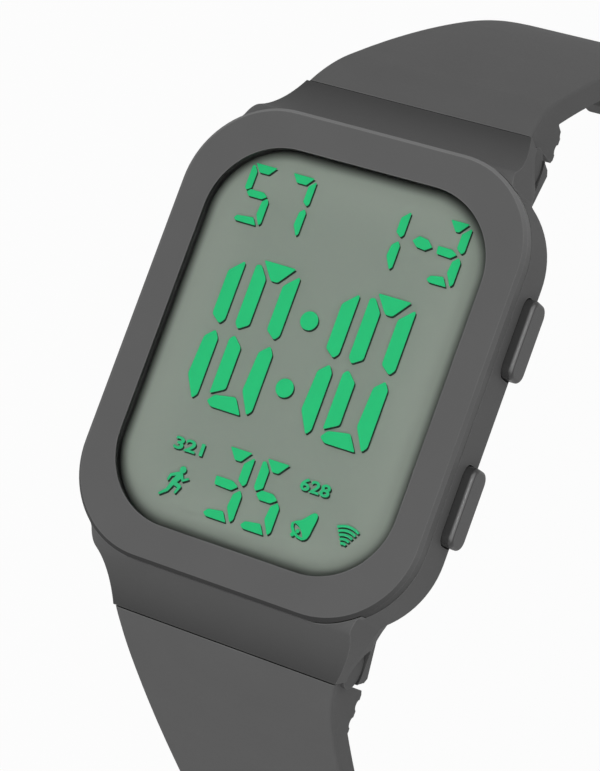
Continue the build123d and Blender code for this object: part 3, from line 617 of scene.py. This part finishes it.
@dataclass(frozen=True)
class Striped(Finish):
    """A body of alternating bands, such as an elastomer connector or a wound coil."""

    first: str
    second: str
    band_mm: float
    direction: str = "X"
    roughness: float = 0.5
    metallic: float = 0.0

    def shader(self, tree: Tree) -> Node:
        """Builds the shader: bands that stand out by a sixth of their width.

        Args:
            tree: The node tree.

        Returns:
            The shader.
        """
        bands = add_node(tree, "TexWave", {
            "bands_direction": self.direction, "Scale": wave_scale(self.band_mm),
            "Vector": add_node(tree, "TexCoord").outputs["Object"]})
        tint = add_node(tree, "Mix", {
            "data_type": "RGBA", 6: linear(self.first), 7: linear(self.second),
            "Factor": bands.outputs["Fac"]})
        bump = add_node(tree, "Bump", {
            "Strength": 0.4, "Distance": self.band_mm * MM / 6, "Height": bands.outputs["Fac"]})
        return add_node(tree, "BsdfPrincipled", {
            "Roughness": self.roughness, "Metallic": self.metallic, "Base Color": tint.outputs[2],
            "Normal": bump})


@dataclass(frozen=True)
class DottedGuide(Finish):
    """A milky acrylic light guide, with the dots that let light out."""

    colour: str = "E6EAEA"
    dot_colour: str = "FFFFFF"
    dot_mm: float = 0.8

    def shader(self, tree: Tree) -> Node:
        """Builds the shader: white dots in a body that light enters a little.

        Args:
            tree: The node tree.

        Returns:
            The shader.
        """
        dots = add_node(tree, "TexVoronoi", {
            "Scale": per_metre(self.dot_mm), "Randomness": 0.0,
            "Vector": add_node(tree, "TexCoord").outputs["Object"]})
        tint = add_node(tree, "Mix", {
            "data_type": "RGBA", 6: linear(self.dot_colour), 7: linear(self.colour),
            "Factor": dots.outputs["Distance"]})
        return add_node(tree, "BsdfPrincipled", {
            "Roughness": 0.35, "Subsurface Weight": 0.3, "Subsurface Radius": (MM, MM, MM),
            "Base Color": tint.outputs[2]})


@dataclass(frozen=True)
class PaleFloor(Finish):
    """Matt card: nearly white to the eye, with the object's faint shadow."""

    colour: str
    seen_colour: str
    seen_share: float = 0.985

    def shader(self, tree: Tree) -> Node:
        """Builds the shader: matt to the lamps, and white to whatever looks at it.

        Args:
            tree: The node tree.

        Returns:
            The shader.
        """
        rays = add_node(tree, "LightPath")
        seen = add_node(tree, "Math", {
            "operation": "MAXIMUM", 0: rays.outputs["Is Camera Ray"], 1: rays.outputs["Is Transmission Ray"]})
        share = add_node(tree, "Math", {"operation": "MULTIPLY", 1: self.seen_share, 0: seen})
        matt = add_node(tree, "BsdfDiffuse", {"Color": linear(self.colour)})
        white = add_node(tree, "Emission", {"Color": linear(self.seen_colour), "Strength": 1.0})
        return add_node(tree, "MixShader", {0: share, 1: matt, 2: white})


def deselect() -> None:
    """Leaves edit mode and selects nothing."""
    if bpy.context.object and bpy.context.object.mode != "OBJECT":
        bpy.ops.object.mode_set(mode="OBJECT")
    bpy.ops.object.select_all(action="DESELECT")


def pick(*objects: Item) -> None:
    """Selects these objects alone and makes the last one active.

    Args:
        objects: What to select.
    """
    deselect()
    for item in objects:
        item.select_set(True)
    bpy.context.view_layer.objects.active = objects[-1]


def edit_mesh(*steps: tuple[Callable, dict]) -> None:
    """Runs operators in edit mode, each on the active object's whole mesh.

    Args:
        steps: Each operator with its settings, in order.
    """
    bpy.ops.object.mode_set(mode="EDIT")
    for operator, settings in steps:
        bpy.ops.mesh.select_all(action="SELECT")
        operator(**settings)
    bpy.ops.object.mode_set(mode="OBJECT")


def settle(item: Item) -> Item:
    """Puts an object's place into its mesh.

    Args:
        item: The object.

    Returns:
        The same object, now at the origin.
    """
    pick(item)
    bpy.ops.object.transform_apply(location=True, rotation=True, scale=True)
    return item


def join(name: str, items: list[Item]) -> Item:
    """Joins objects into one.

    Args:
        name: The name of the result.
        items: The objects, all meshes.

    Returns:
        The joined object.
    """
    pick(*items)
    if len(items) > 1:
        bpy.ops.object.join()
    whole = bpy.context.view_layer.objects.active
    whole.name = whole.data.name = name
    return whole


def plate(name: str, outline: Outline, low: float, thickness: float) -> Item:
    """A flat plate with a given outline, raised by an extrusion, in millimetres.

    Args:
        name: The object's name.
        outline: Corners in X and Y, anticlockwise.
        low: Height of the underside.
        thickness: How thick the plate is.

    Returns:
        The plate.
    """
    deselect()
    bpy.ops.mesh.primitive_circle_add(vertices=len(outline), fill_type="NGON")
    item = bpy.context.object
    item.name = item.data.name = name
    for vertex, (x, y) in zip(item.data.vertices, outline):
        vertex.co = Vector((x, y, low)) * MM
    raised = {"TRANSFORM_OT_translate": {"value": (0, 0, thickness * MM)}}
    edit_mesh((bpy.ops.mesh.extrude_region_move, raised),
              (bpy.ops.mesh.normals_make_consistent, {"inside": False}))
    return item


def disc_outline(centre: Point, radius: float, count: int = 24, start: float = 0.0,
                 end: float = 360.0) -> Outline:
    """Points on an arc or a whole circle.

    Args:
        centre: The middle.
        radius: The radius.
        count: How many points.
        start: First angle in degrees.
        end: Last angle in degrees, not reached on a whole circle.

    Returns:
        The points in order.
    """
    whole = abs(end - start) >= 360
    steps = count if whole else count - 1
    angles = [math.radians(start + (end - start) * i / steps) for i in range(count)]
    return [(centre[0] + radius * math.cos(a), centre[1] + radius * math.sin(a)) for a in angles]


def bar_outline(first: Point, last: Point, width: float, end_width: float) -> Outline:
    """A straight bar with round ends between two points.

    Args:
        first: Middle of the first end.
        last: Middle of the last end.
        width: Width at the first end.
        end_width: Width at the last end.

    Returns:
        The outline, anticlockwise.
    """
    turn = math.degrees(math.atan2(last[1] - first[1], last[0] - first[0]))
    near = disc_outline(first, width / 2, 7, turn + 90, turn + 270)
    far = disc_outline(last, end_width / 2, 7, turn - 90, turn + 90)
    return near + far


def softened(outline: Outline, radius: float) -> Outline:
    """Rounds every corner of an outline a little.

    Args:
        outline: The sharp corners in order.
        radius: How far from each corner the rounding starts.

    Returns:
        Three points for every corner.
    """
    points = []
    for index, corner in enumerate(outline):
        ends = []
        for other in (outline[index - 1], outline[(index + 1) % len(outline)]):
            length = math.dist(corner, other)
            share = min(radius, 0.4 * length) / length
            ends.append(tuple(a + (b - a) * share for a, b in zip(corner, other)))
        middle = tuple(0.25 * a + 0.5 * c + 0.25 * b for a, c, b in zip(ends[0], corner, ends[1]))
        points += [ends[0], middle, ends[1]]
    return points


def lettering(name: str, text: str, low_corner: Point, high_corner: Point, low: float,
              thickness: float) -> Item:
    """Plain bold numerals as a thin mesh that fills a rectangle, in millimetres.

    Args:
        name: The object's name.
        text: The numerals.
        low_corner: Lower left corner of the rectangle.
        high_corner: Upper right corner of the rectangle.
        low: Height of the underside.
        thickness: How thick the numerals are.

    Returns:
        The numerals, as one mesh.
    """
    deselect()
    bpy.ops.object.text_add()
    item = bpy.context.object
    item.name = item.data.name = name
    item.data.body = text
    item.data.offset = 0.025
    item.data.resolution_u = 4
    item.data.extrude = 0.5
    bpy.ops.object.convert(target="MESH")
    item = bpy.context.object
    edit_mesh((bpy.ops.mesh.remove_doubles, {"threshold": 0.0001}),
              (bpy.ops.mesh.normals_make_consistent, {"inside": False}))
    lows = [min(v.co[axis] for v in item.data.vertices) for axis in range(3)]
    highs = [max(v.co[axis] for v in item.data.vertices) for axis in range(3)]
    to_low = (*low_corner, low)
    to_high = (*high_corner, low + thickness)
    for vertex in item.data.vertices:
        shares = [(vertex.co[a] - lows[a]) / (highs[a] - lows[a]) for a in range(3)]
        vertex.co = Vector([to_low[a] + (to_high[a] - to_low[a]) * shares[a] for a in range(3)]) * MM
    return item


@dataclass(frozen=True)
class Segments:
    """The seven bars of one numeral, drawn for a cell of any size."""

    width: float
    height: float
    stroke: float
    corner: float = 0.13
    lit: dict[str, str] = field(default_factory=lambda: {
        "0": "abcdef", "1": "bc", "3": "abhcd", "5": "afgcd", "7": "abc"})

    def bars(self) -> dict[str, Outline]:
        """The outline of every bar, from the cell's lower left corner.

        Returns:
            Outlines by letter: a to g as usual, and h the middle bar with a blunt end.
        """
        w, h, t = self.width, self.height, self.stroke
        mid = h / 2
        return {
            "a": [(1.35 * t, h - 1.2 * t), (w - 1.45 * t, h - 1.2 * t), (w - 0.5 * t, h), (0.42 * t, h)],
            "b": [(w - t, mid + 0.75 * t), (w - 0.3 * t, mid + 0.25 * t), (w, mid + 0.6 * t),
                  (w, h - 0.55 * t), (w - 0.1 * t, h - 0.45 * t), (w - t, h - 1.3 * t)],
            "c": [(w - 1.15 * t, 1.6 * t), (w - 0.3 * t, 0.15 * t), (w, 0.5 * t), (w, mid - 0.7 * t),
                  (w - 0.35 * t, mid - 0.2 * t), (w - t, mid - 0.8 * t)],
            "d": [(0.4 * t, 0), (w - 0.7 * t, 0), (w - 1.4 * t, 1.05 * t), (0.4 * t, 0.8 * t), (0, 0.3 * t)],
            "e": [(0, 0.8 * t), (t, 1.35 * t), (t, mid - 0.85 * t), (0.3 * t, mid - 0.2 * t),
                  (0, mid - 0.5 * t)],
            "f": [(0, mid + 0.6 * t), (0.3 * t, mid + 0.25 * t), (t, mid + 0.7 * t), (t, h - 1.2 * t),
                  (0.35 * t, h - 0.35 * t), (0, h - 0.45 * t)],
            "g": [(t, mid - 0.5 * t), (w - 1.2 * t, mid - 0.5 * t), (w - 0.5 * t, mid),
                  (w - 1.15 * t, mid + 0.5 * t), (t, mid + 0.5 * t), (0.5 * t, mid)],
            "h": [(0.1 * t, mid - 0.4 * t), (w - 1.4 * t, mid - 0.5 * t), (w - 0.75 * t, mid + 0.05 * t),
                  (w - 1.5 * t, mid + 0.5 * t), (0, mid + 0.5 * t)],
        }

    def outlines(self, numeral: str, corner: Point) -> list[Outline]:
        """The outlines of a numeral's lit bars.

        Args:
            numeral: The sign to show.
            corner: Lower left corner of its cell.

        Returns:
            One outline for each bar.
        """
        bars = self.bars()
        return [softened([(corner[0] + x, corner[1] + y) for x, y in bars[key]],
                         self.corner * self.stroke) for key in self.lit[numeral]]


@dataclass
class Display:
    """Everything that the display shows, as thin plates just above its ground, each with a dark plate of
    painted shadow below.
    """

    ink: Material
    shade: Material
    small_ink: Material
    top: float = 11.0
    lift: float = 0.09
    shade_lift: float = 0.01
    thickness: float = 0.03
    stagger: float = 0.002
    shade_offset: Point = (0.13, -0.13)
    numerals: Segments = Segments(4.95, 15.2, 1.5)
    second_numerals: Segments = Segments(3.25, 7.1, 0.93)
    date_numerals: Segments = Segments(2.75, 6.4, 0.85)
    corner_numerals: Segments = Segments(3.0, 6.05, 0.7)
    time_corners: Points = ((-14.2, -6.9), (-8.07, -6.9), (-1.55, -6.9), (4.47, -6.9))
    colon_dots: Points = ((-0.73, 3.85), (-0.73, -3.05))
    colon_radius: float = 0.94
    second_corners: Points = ((-4.32, -17.05), (-0.2, -17.05))
    date_corners: Points = ((2.75, 10.65), (9.22, 10.65))
    dash: Points = ((6.55, 14.1), (7.15, 13.6), (8.05, 13.5), (8.7, 13.95), (8.1, 14.55), (7.1, 14.7))
    corner_corners: Points = ((-12.2, 11.3), (-8.0, 11.3))
    split_box: Points = ((-9.75, -11.8), (-6.5, -10.55))
    alarm_box: Points = ((4.25, -11.8), (7.4, -10.55))

    def place(self, item: Item, ink: Material) -> None:
        """Gives a sign its material and its place in the display.

        Args:
            item: The sign.
            ink: Its material.
        """
        item.data.materials.append(ink)
        settle(item)
        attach(item, "case")
        LOG.info("%s: %d faces", item.name, len(item.data.polygons))

    def bars(self, name: str, outlines: list[Outline], low: float, shift: Point) -> Item:
        """Makes one group of plates, each a hair above the one before it.

        Args:
            name: The group's name.
            outlines: One outline for each plate.
            low: Height of the undersides.
            shift: How far the plates are moved in X and Y.

        Returns:
            The group as one object.
        """
        plates = []
        for index, outline in enumerate(outlines):
            moved = [(x + shift[0], y + shift[1]) for x, y in outline]
            plates.append(plate(f"{name}_bar", moved, low + self.stagger * index, self.thickness))
        return join(name, plates)

    def show(self, name: str, outlines: list[Outline], ink: Material | None = None) -> None:
        """Shows one group of signs, and a dark copy moved aside on the ground as painted shadow.

        Args:
            name: The group's name.
            outlines: One outline for each plate.
            ink: The material, if not the usual one.
        """
        self.place(self.bars(name, outlines, self.top + self.lift, (0.0, 0.0)), ink or self.ink)
        self.place(self.bars(f"{name}_shade", outlines, self.top + self.shade_lift, self.shade_offset),
                   self.shade)

    def caption(self, name: str, text: str, box: Points) -> None:
        """Shows a short row of small plain numerals, and a dark copy moved aside as painted shadow.

        Args:
            name: The caption's name.
            text: The numerals.
            box: Lower left and upper right corner of the row.
        """
        self.place(lettering(name, text, *box, self.top + self.lift, self.thickness), self.small_ink)
        below = [tuple(a + b for a, b in zip(corner, self.shade_offset)) for corner in box]
        self.place(lettering(f"{name}_shade", text, *below, self.top + self.shade_lift, self.thickness),
                   self.shade)

    def row(self, numerals: Segments, text: str, corners: Points) -> list[Outline]:
        """Outlines of a row of numerals.

        Args:
            numerals: The numerals' shape.
            text: The signs to show.
            corners: Lower left corner of each cell.

        Returns:
            All lit bars' outlines.
        """
        return [bar for sign, corner in zip(text, corners) for bar in numerals.outlines(sign, corner)]

    def build(self) -> None:
        """Makes all signs of the display."""
        self.show("time_numerals", self.row(self.numerals, "1010", self.time_corners))
        self.show("time_colon", [disc_outline(dot, self.colon_radius) for dot in self.colon_dots])
        self.show("second_numerals", self.row(self.second_numerals, "35", self.second_corners))
        self.show("date_numerals", self.row(self.date_numerals, "13", self.date_corners) + [self.dash])
        self.show("corner_numerals", self.row(self.corner_numerals, "57", self.corner_corners))
        self.caption("split_label", "321", self.split_box)
        self.caption("alarm_label", "628", self.alarm_box)
        self.show("stride_sign", self.stride_sign(), self.small_ink)
        self.show("bell_sign", self.bell_sign())
        self.show("wave_sign", self.wave_sign(), self.small_ink)

    def stride_sign(self) -> list[Outline]:
        """A plain striding figure: head, body and limbs as bars.

        Returns:
            One outline for each part.
        """
        limbs = (((-7.95, -14.15), (-8.4, -15.0), 0.64, 0.52), ((-8.15, -14.0), (-8.9, -14.35), 0.32, 0.28),
                 ((-8.9, -14.35), (-9.05, -14.85), 0.28, 0.22), ((-7.75, -14.2), (-7.5, -14.55), 0.3, 0.26),
                 ((-7.5, -14.55), (-7.0, -14.25), 0.26, 0.2), ((-8.3, -15.0), (-7.6, -15.2), 0.44, 0.34),
                 ((-7.6, -15.2), (-7.85, -15.85), 0.34, 0.24), ((-8.45, -15.1), (-8.75, -15.85), 0.44, 0.32),
                 ((-8.75, -15.85), (-9.4, -16.4), 0.32, 0.22))
        return [disc_outline((-7.85, -13.55), 0.35, 16)] + [bar_outline(*limb) for limb in limbs]

    def bell_sign(self) -> list[Outline]:
        """A plain hand bell seen from below its mouth.

        Returns:
            The outlines of body, rim and clapper.
        """
        body = [(4.8, -14.95), (5.15, -14.7), (5.6, -14.5), (6.0, -14.1), (6.4, -13.65), (6.7, -13.45),
                (7.0, -13.5), (7.1, -13.8), (7.05, -14.4), (6.95, -15.0), (6.9, -15.6), (6.75, -16.05),
                (6.4, -16.3), (6.1, -15.65), (5.6, -15.15), (5.15, -14.95)]
        rim = [(4.72, -14.95), (5.0, -14.95), (5.05, -15.3), (5.35, -15.7), (5.8, -15.98), (6.4, -16.1),
               (6.35, -16.32), (5.7, -16.22), (5.1, -15.85), (4.78, -15.4)]
        return [softened(body, 0.12), softened(rim, 0.06), disc_outline((5.62, -15.6), 0.2, 12),
                disc_outline((5.2, -16.05), 0.2, 12)]

    def wave_sign(self) -> list[Outline]:
        """Five nested arcs, the usual sign for a signal.

        Returns:
            One outline for each arc.
        """
        centre, largest, step, width = (10.4, -15.9), 2.32, 0.41, 0.25
        arcs = []
        for index in range(5):
            outer = largest - step * index
            arcs.append(disc_outline(centre, outer, 11, 59, 121)
                        + disc_outline(centre, outer - width, 11, 59, 121)[::-1])
        return arcs


@dataclass
class ReturnSprings:
    """The wire springs behind buttons and bar tips, each copied as a mesh of its own."""

    nodes: dict
    button_stroke: float = 0.6 * MM
    tip_stroke: float = 1.6 * MM
    weld: float = 0.001 * MM

    def copied(self, node: str, name: str) -> Item:
        """Copies a spring as one closed mesh, in place of its CAD node.

        Args:
            node: The spring's node.
            name: The copy's name.

        Returns:
            The copy, riding on the case.
        """
        item = bpy.data.objects.new(name, self.nodes[node].data.copy())
        item.data.name = name
        item.data.materials.clear()
        item.data.materials.append(self.nodes[node].material_slots[0].material)
        bpy.context.scene.collection.objects.link(item)
        pick(item)
        edit_mesh((bpy.ops.mesh.remove_doubles, {"threshold": self.weld}))
        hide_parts(node)
        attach(item, "case")
        return item

    def shortened(self, item: Item) -> None:
        """Gives a spring a mesh of its own.

        Args:
            item: The spring.
        """
        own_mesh(item)

    def build(self) -> None:
        """Makes the two button springs, and both halves of the two bar springs."""
        for row in ("upper", "lower"):
            item = self.copied(f"{row}_button_spring", f"{row}_button_coil")
            self.shortened(item)
            for side, outward in (("right", 1), ("left", -1)):
                item = self.copied(f"{row}_bar_spring", f"{row}_bar_coil_{side}")
                middle = {"plane_co": (0, 0, 0), "plane_no": (outward, 0, 0), "clear_inner": True}
                edit_mesh((bpy.ops.mesh.bisect, middle), (bpy.ops.mesh.fill_holes, {"sides": 0}),
                          (bpy.ops.mesh.normals_make_consistent, {"inside": False}))
                self.shortened(item)


@dataclass
class Studio:
    """The pale floor, the white surroundings, the lamps and the camera."""

    floor_height: float
    camera_place: Place = (103.159, -28.093, 237.357)
    camera_right: Place = (0.870085, 0.341070, -0.355842)
    camera_up: Place = (-0.272247, 0.934361, 0.229892)
    camera_back: Place = (0.410895, -0.103149, 0.905829)
    lens_mm: float = 122.04
    sensor_mm: float = 36.0
    surround_light: float = 0.95
    horizon_light: float = 0.6
    horizon_reach: float = 0.7
    ceiling_light: float = 0.12
    ceiling_band: Point = (0.1, 0.75)
    backdrop: str = "FDFDFD"
    floor_colour: str = "B8B8B8"
    floor_size: float = 6.0
    lamps: tuple[tuple[str, Place, float, float], ...] = (
        ("key_lamp", (0.12, 0.42, 0.6), 0.35, 0.3),
        ("fill_lamp", (0.05, -0.38, 0.55), 0.5, 0.9),
        ("crest_lamp", (0.6, 0.08, 0.52), 0.06, 0.4))

    def camera(self) -> None:
        """Sets the camera at the photograph's viewing angle."""
        data = bpy.data.cameras.new("camera")
        data.sensor_fit = "VERTICAL"
        data.sensor_height = self.sensor_mm
        data.lens = self.lens_mm
        data.clip_start, data.clip_end = 0.01, 10.0
        item = bpy.data.objects.new("camera", data)
        bpy.context.scene.collection.objects.link(item)
        axes = Matrix((self.camera_right, self.camera_up, self.camera_back)).transposed().to_4x4()
        item.matrix_world = Matrix.Translation(Vector(self.camera_place) * MM) @ axes
        bpy.context.scene.camera = item

    def surroundings(self) -> None:
        """A white world for what looks at it, and an even light for the rest."""
        world = bpy.data.worlds.new("surroundings")
        world.use_nodes = True
        tree = world.node_tree
        tree.nodes.clear()
        rays = add_node(tree, "LightPath")
        seen = add_node(tree, "Math", {
            "operation": "MAXIMUM", 0: rays.outputs["Is Camera Ray"], 1: rays.outputs["Is Transmission Ray"]})
        upward = add_node(tree, "SeparateXYZ", {0: add_node(tree, "TexCoord").outputs["Generated"]})
        sky = add_node(tree, "MapRange", {
            "From Max": self.horizon_reach, "To Min": self.horizon_light, "To Max": self.surround_light,
            "Value": upward.outputs["Z"]})
        strength = add_node(tree, "Mix", {"data_type": "FLOAT", 3: 1.0, 0: seen, 2: sky})
        ceiling = add_node(tree, "MapRange", {
            "From Min": self.ceiling_band[0], "From Max": self.ceiling_band[1], "To Min": 1.0,
            "To Max": self.ceiling_light, "Value": upward.outputs["Z"]})
        mirrored = add_node(tree, "Mix", {
            "data_type": "FLOAT", 0: rays.outputs["Is Glossy Ray"], 2: strength, 3: ceiling})
        light = add_node(tree, "Background", {"Color": linear(self.backdrop), "Strength": mirrored})
        add_node(tree, "OutputWorld", {"Surface": light})
        bpy.context.scene.world = world

    def floor(self) -> None:
        """A pale floor that the camera sees as white, with a faint shadow."""
        deselect()
        bpy.ops.mesh.primitive_plane_add(size=self.floor_size, location=(0, 0, self.floor_height))
        item = bpy.context.object
        item.name = "floor"
        item.data.materials.append(PaleFloor("pale_floor", self.floor_colour, self.backdrop).make())
        settle(item)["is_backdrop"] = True

    def lamp(self, name: str, place: Place, size: float, power: float) -> None:
        """Adds one soft lamp that faces the watch.

        Args:
            name: The lamp's name.
            place: Where it hangs, in metres.
            size: Its width in metres.
            power: Its power in watts.
        """
        data = bpy.data.lights.new(name, "AREA")
        data.shape = "DISK"
        data.size = size
        data.energy = power
        item = bpy.data.objects.new(name, data)
        bpy.context.scene.collection.objects.link(item)
        item.location = place
        item.rotation_euler = (-Vector(place)).to_track_quat("-Z", "Y").to_euler()

    def build(self) -> None:
        """Sets up the whole studio."""
        self.camera()
        self.surroundings()
        self.floor()
        for name, place, size, power in self.lamps:
            self.lamp(name, place, size, power)
        bpy.context.scene.view_settings.view_transform = "Standard"


@dataclass
class CadDressing:
    """Which finish every CAD node wears."""

    nodes: dict

    def dress(self, finish: Finish, *names: str) -> None:
        """Puts one finish on some CAD nodes.

        Args:
            finish: The finish.
            names: The nodes' names.
        """
        material = finish.make()
        for name in names:
            item = self.nodes[name]
            if item.material_slots:
                for holder in item.material_slots:
                    holder.material = material
            else:
                item.data.materials.append(material)
            LOG.info("%s wears %s", name, finish.name)

    def wardrobe(self) -> list[tuple]:
        """Every finish, with the names of the CAD nodes that wear it.

        Returns:
            A finish and its nodes' names, for each row.
        """
        return [
            # Moulded polyurethane: an even dark grey and dull, with painted shade in the hoods' scoops.
            (HoodedResin("case_moulded_resin", "575757", shine=0.25), "case_body"),
            # The same resin with a little gloss, painted black shade on the wall round the window, and
            # painted light and shade on the chamfer.
            (BezelResin("bezel_moulded_resin", "565656", roughness=0.5), "bezel"),
            # A softer resin from a coarser mould: the dullest of the three.
            (MouldedResin("strap_moulded_resin", "565656", roughness=0.6, grain_mm=0.3, shine=0.25),
             "upper_strap", "lower_strap", "strap_keeper"),
            # Polished in the mould: nearly black, with crisp lights along the crests from the crest lamp and
            # a painted highlight.
            (PolishedResin("button_polished_resin", "3A3A3A", roughness=0.22),
             "upper_button", "lower_button"),
            # Polished glass: clear, so that the display shows, with a sheen of the room.
            (ClearGlass("lens_mineral_glass"), "lens"),
            # Polarising film over a pale backing: flat grey-green, paler towards the edge as painted light,
            # and dark round the edge with painted shade.
            (DisplayGround("display_ground", "B4BBB3", "A7AFA7", "0B0E0C", half_width=15.2 * MM,
                           half_length=19.65 * MM, corner=7.8 * MM, edge_shade_mm=1.4,
                           edge_shade_middle=(-0.25 * MM, -0.05 * MM, 0.0)), "lcd_panel"),
            # Moulded nitrile: almost black and quite dull.
            (MouldedResin("seal_nitrile_rubber", "1A1A1B", roughness=0.7),
             "lens_gasket", "case_back_gasket", "upper_button_seal", "lower_button_seal"),
            # Coated polyester: pale, even and satin.
            (MouldedResin("reflector_polyester_film", "D3D6D2", roughness=0.35, clouding=0.02),
             "lcd_reflector"),
            # Cast acrylic: milky, with rows of white dots.
            (DottedGuide("guide_acrylic"), "backlight_panel"),
            # Layered silicone: cream and black, a pair in about 0.18 mm, drawn coarser so that it shows.
            (Striped("strip_layered_silicone", "C9C4B4", "26262A", 0.36), "contact_strips"),
            # Glass-filled nylon: black and dull.
            (MouldedResin("carrier_glass_nylon", "1D1D1F", roughness=0.6), "module_frame"),
            # Lacquered glass-epoxy: glossy green with paler tracks.
            (SolderMask("board_solder_mask"), "circuit_board"),
            # Poured epoxy: a glossy black drop, with a faint painted highlight on its crest.
            (PolishedResin("chip_epoxy_drop", "0F0F10", "1C1C1E", roughness=0.25), "chip_cover"),
            # Nickel-plated can: bright, and nearly a mirror.
            (BrushedMetal("crystal_plated_can", "C9CACC", roughness=0.2), "quartz_crystal"),
            # Wound enamelled wire of about 0.06 mm, drawn coarser so that it shows: brown threads.
            (Striped("coil_enamelled_copper", "A65B2C", "6E3617", 0.12, "Z", 0.35, 1.0), "boost_coil"),
            # Fired ceramic: tan, between dull and satin.
            (MouldedResin("capacitor_ceramic", "96765A", roughness=0.45), "board_capacitors"),
            # Gilded bronze: warm yellow and bright.
            (BrushedMetal("contact_gilded_bronze", "D9B45E", roughness=0.25),
             "upper_contact", "lower_contact"),
            # Cast polyimide: amber, with a soft gloss.
            (MouldedResin("insulator_polyimide_film", "C58A2C", roughness=0.3), "battery_insulator"),
            # Nickel-plated steel, drawn: grey, with faint lines one way.
            (BrushedMetal("battery_nickel_can", "B9BABC", roughness=0.3, brushing=Brushing.ALONG_Y),
             "coin_battery"),
            # Rolled spring steel: a darker grey, its lines across the case.
            (BrushedMetal("clip_spring_steel", "ACADAF", roughness=0.32, brushing=Brushing.ALONG_X),
             "battery_clip", "upper_button_clip", "lower_button_clip"),
            # Drawn steel wire: grey, bright where it is rubbed.
            (BrushedMetal("spring_drawn_wire", "A5A6A8", roughness=0.3), "sounder_spring",
             "upper_button_spring", "lower_button_spring", "upper_bar_spring", "lower_bar_spring"),
            # Rolled brass: yellow, with faint lines one way.
            (BrushedMetal("sounder_rolled_brass", "C9A45A", roughness=0.3, brushing=Brushing.ALONG_Y),
             "piezo_disc"),
            # Stainless sheet brushed in circles: pale, with rings that catch the light.
            (TurnedSteel("back_turned_steel", "B4B5B7"), "case_back"),
            # Plain turned steel: grey, evenly bright.
            (BrushedMetal("screw_plain_steel", "AFB0B2", roughness=0.3), "case_back_screws"),
            # Drawn stainless tube: bright lines along the bar.
            (BrushedMetal("bar_drawn_steel", "AEAFB1", roughness=0.28, brushing=Brushing.ALONG_X),
             "upper_bar_tube", "lower_bar_tube", "upper_bar_tip_right", "upper_bar_tip_left",
             "lower_bar_tip_right", "lower_bar_tip_left"),
            # Stainless bent from brushed strip: satin, with fine lines one way.
            (BrushedMetal("buckle_brushed_steel", "B2B3B5", roughness=0.3, brushing=Brushing.ALONG_Z),
             "buckle_frame", "buckle_tongue", "buckle_pin"),
        ]

    def build(self) -> None:
        """Dresses every CAD node, and reports any that is left bare."""
        low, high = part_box("lcd_panel")
        rows = self.wardrobe()
        for finish, *names in rows:
            self.dress(finish, *names)
        bare = set(self.nodes) - {name for _, *names in rows for name in names}
        LOG.info("bare nodes: %s; the display spans %.1f mm", sorted(bare), (high - low).x / MM)


def main() -> None:
    """Loads the frame, dresses it and sets up the studio."""
    logging.basicConfig(level=logging.INFO, format="%(name)s: %(message)s")
    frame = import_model()
    cad_low, cad_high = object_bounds()
    CadDressing(frame["nodes"]).build()
    ReturnSprings(frame["nodes"]).build()
    # segment_green and label_green carry a painted glow
    Display(SegmentInk("segment_green", "22BA76", painted_glow=0.45).make(),
            # segment_shade colours the dark plates of painted shadow under the signs
            SegmentInk("segment_shade", "24382E").make(),
            SegmentInk("label_green", "2FB57A", painted_glow=0.42).make()).build()
    Studio(cad_low.z).build()


if __name__ == "__main__":
    main()
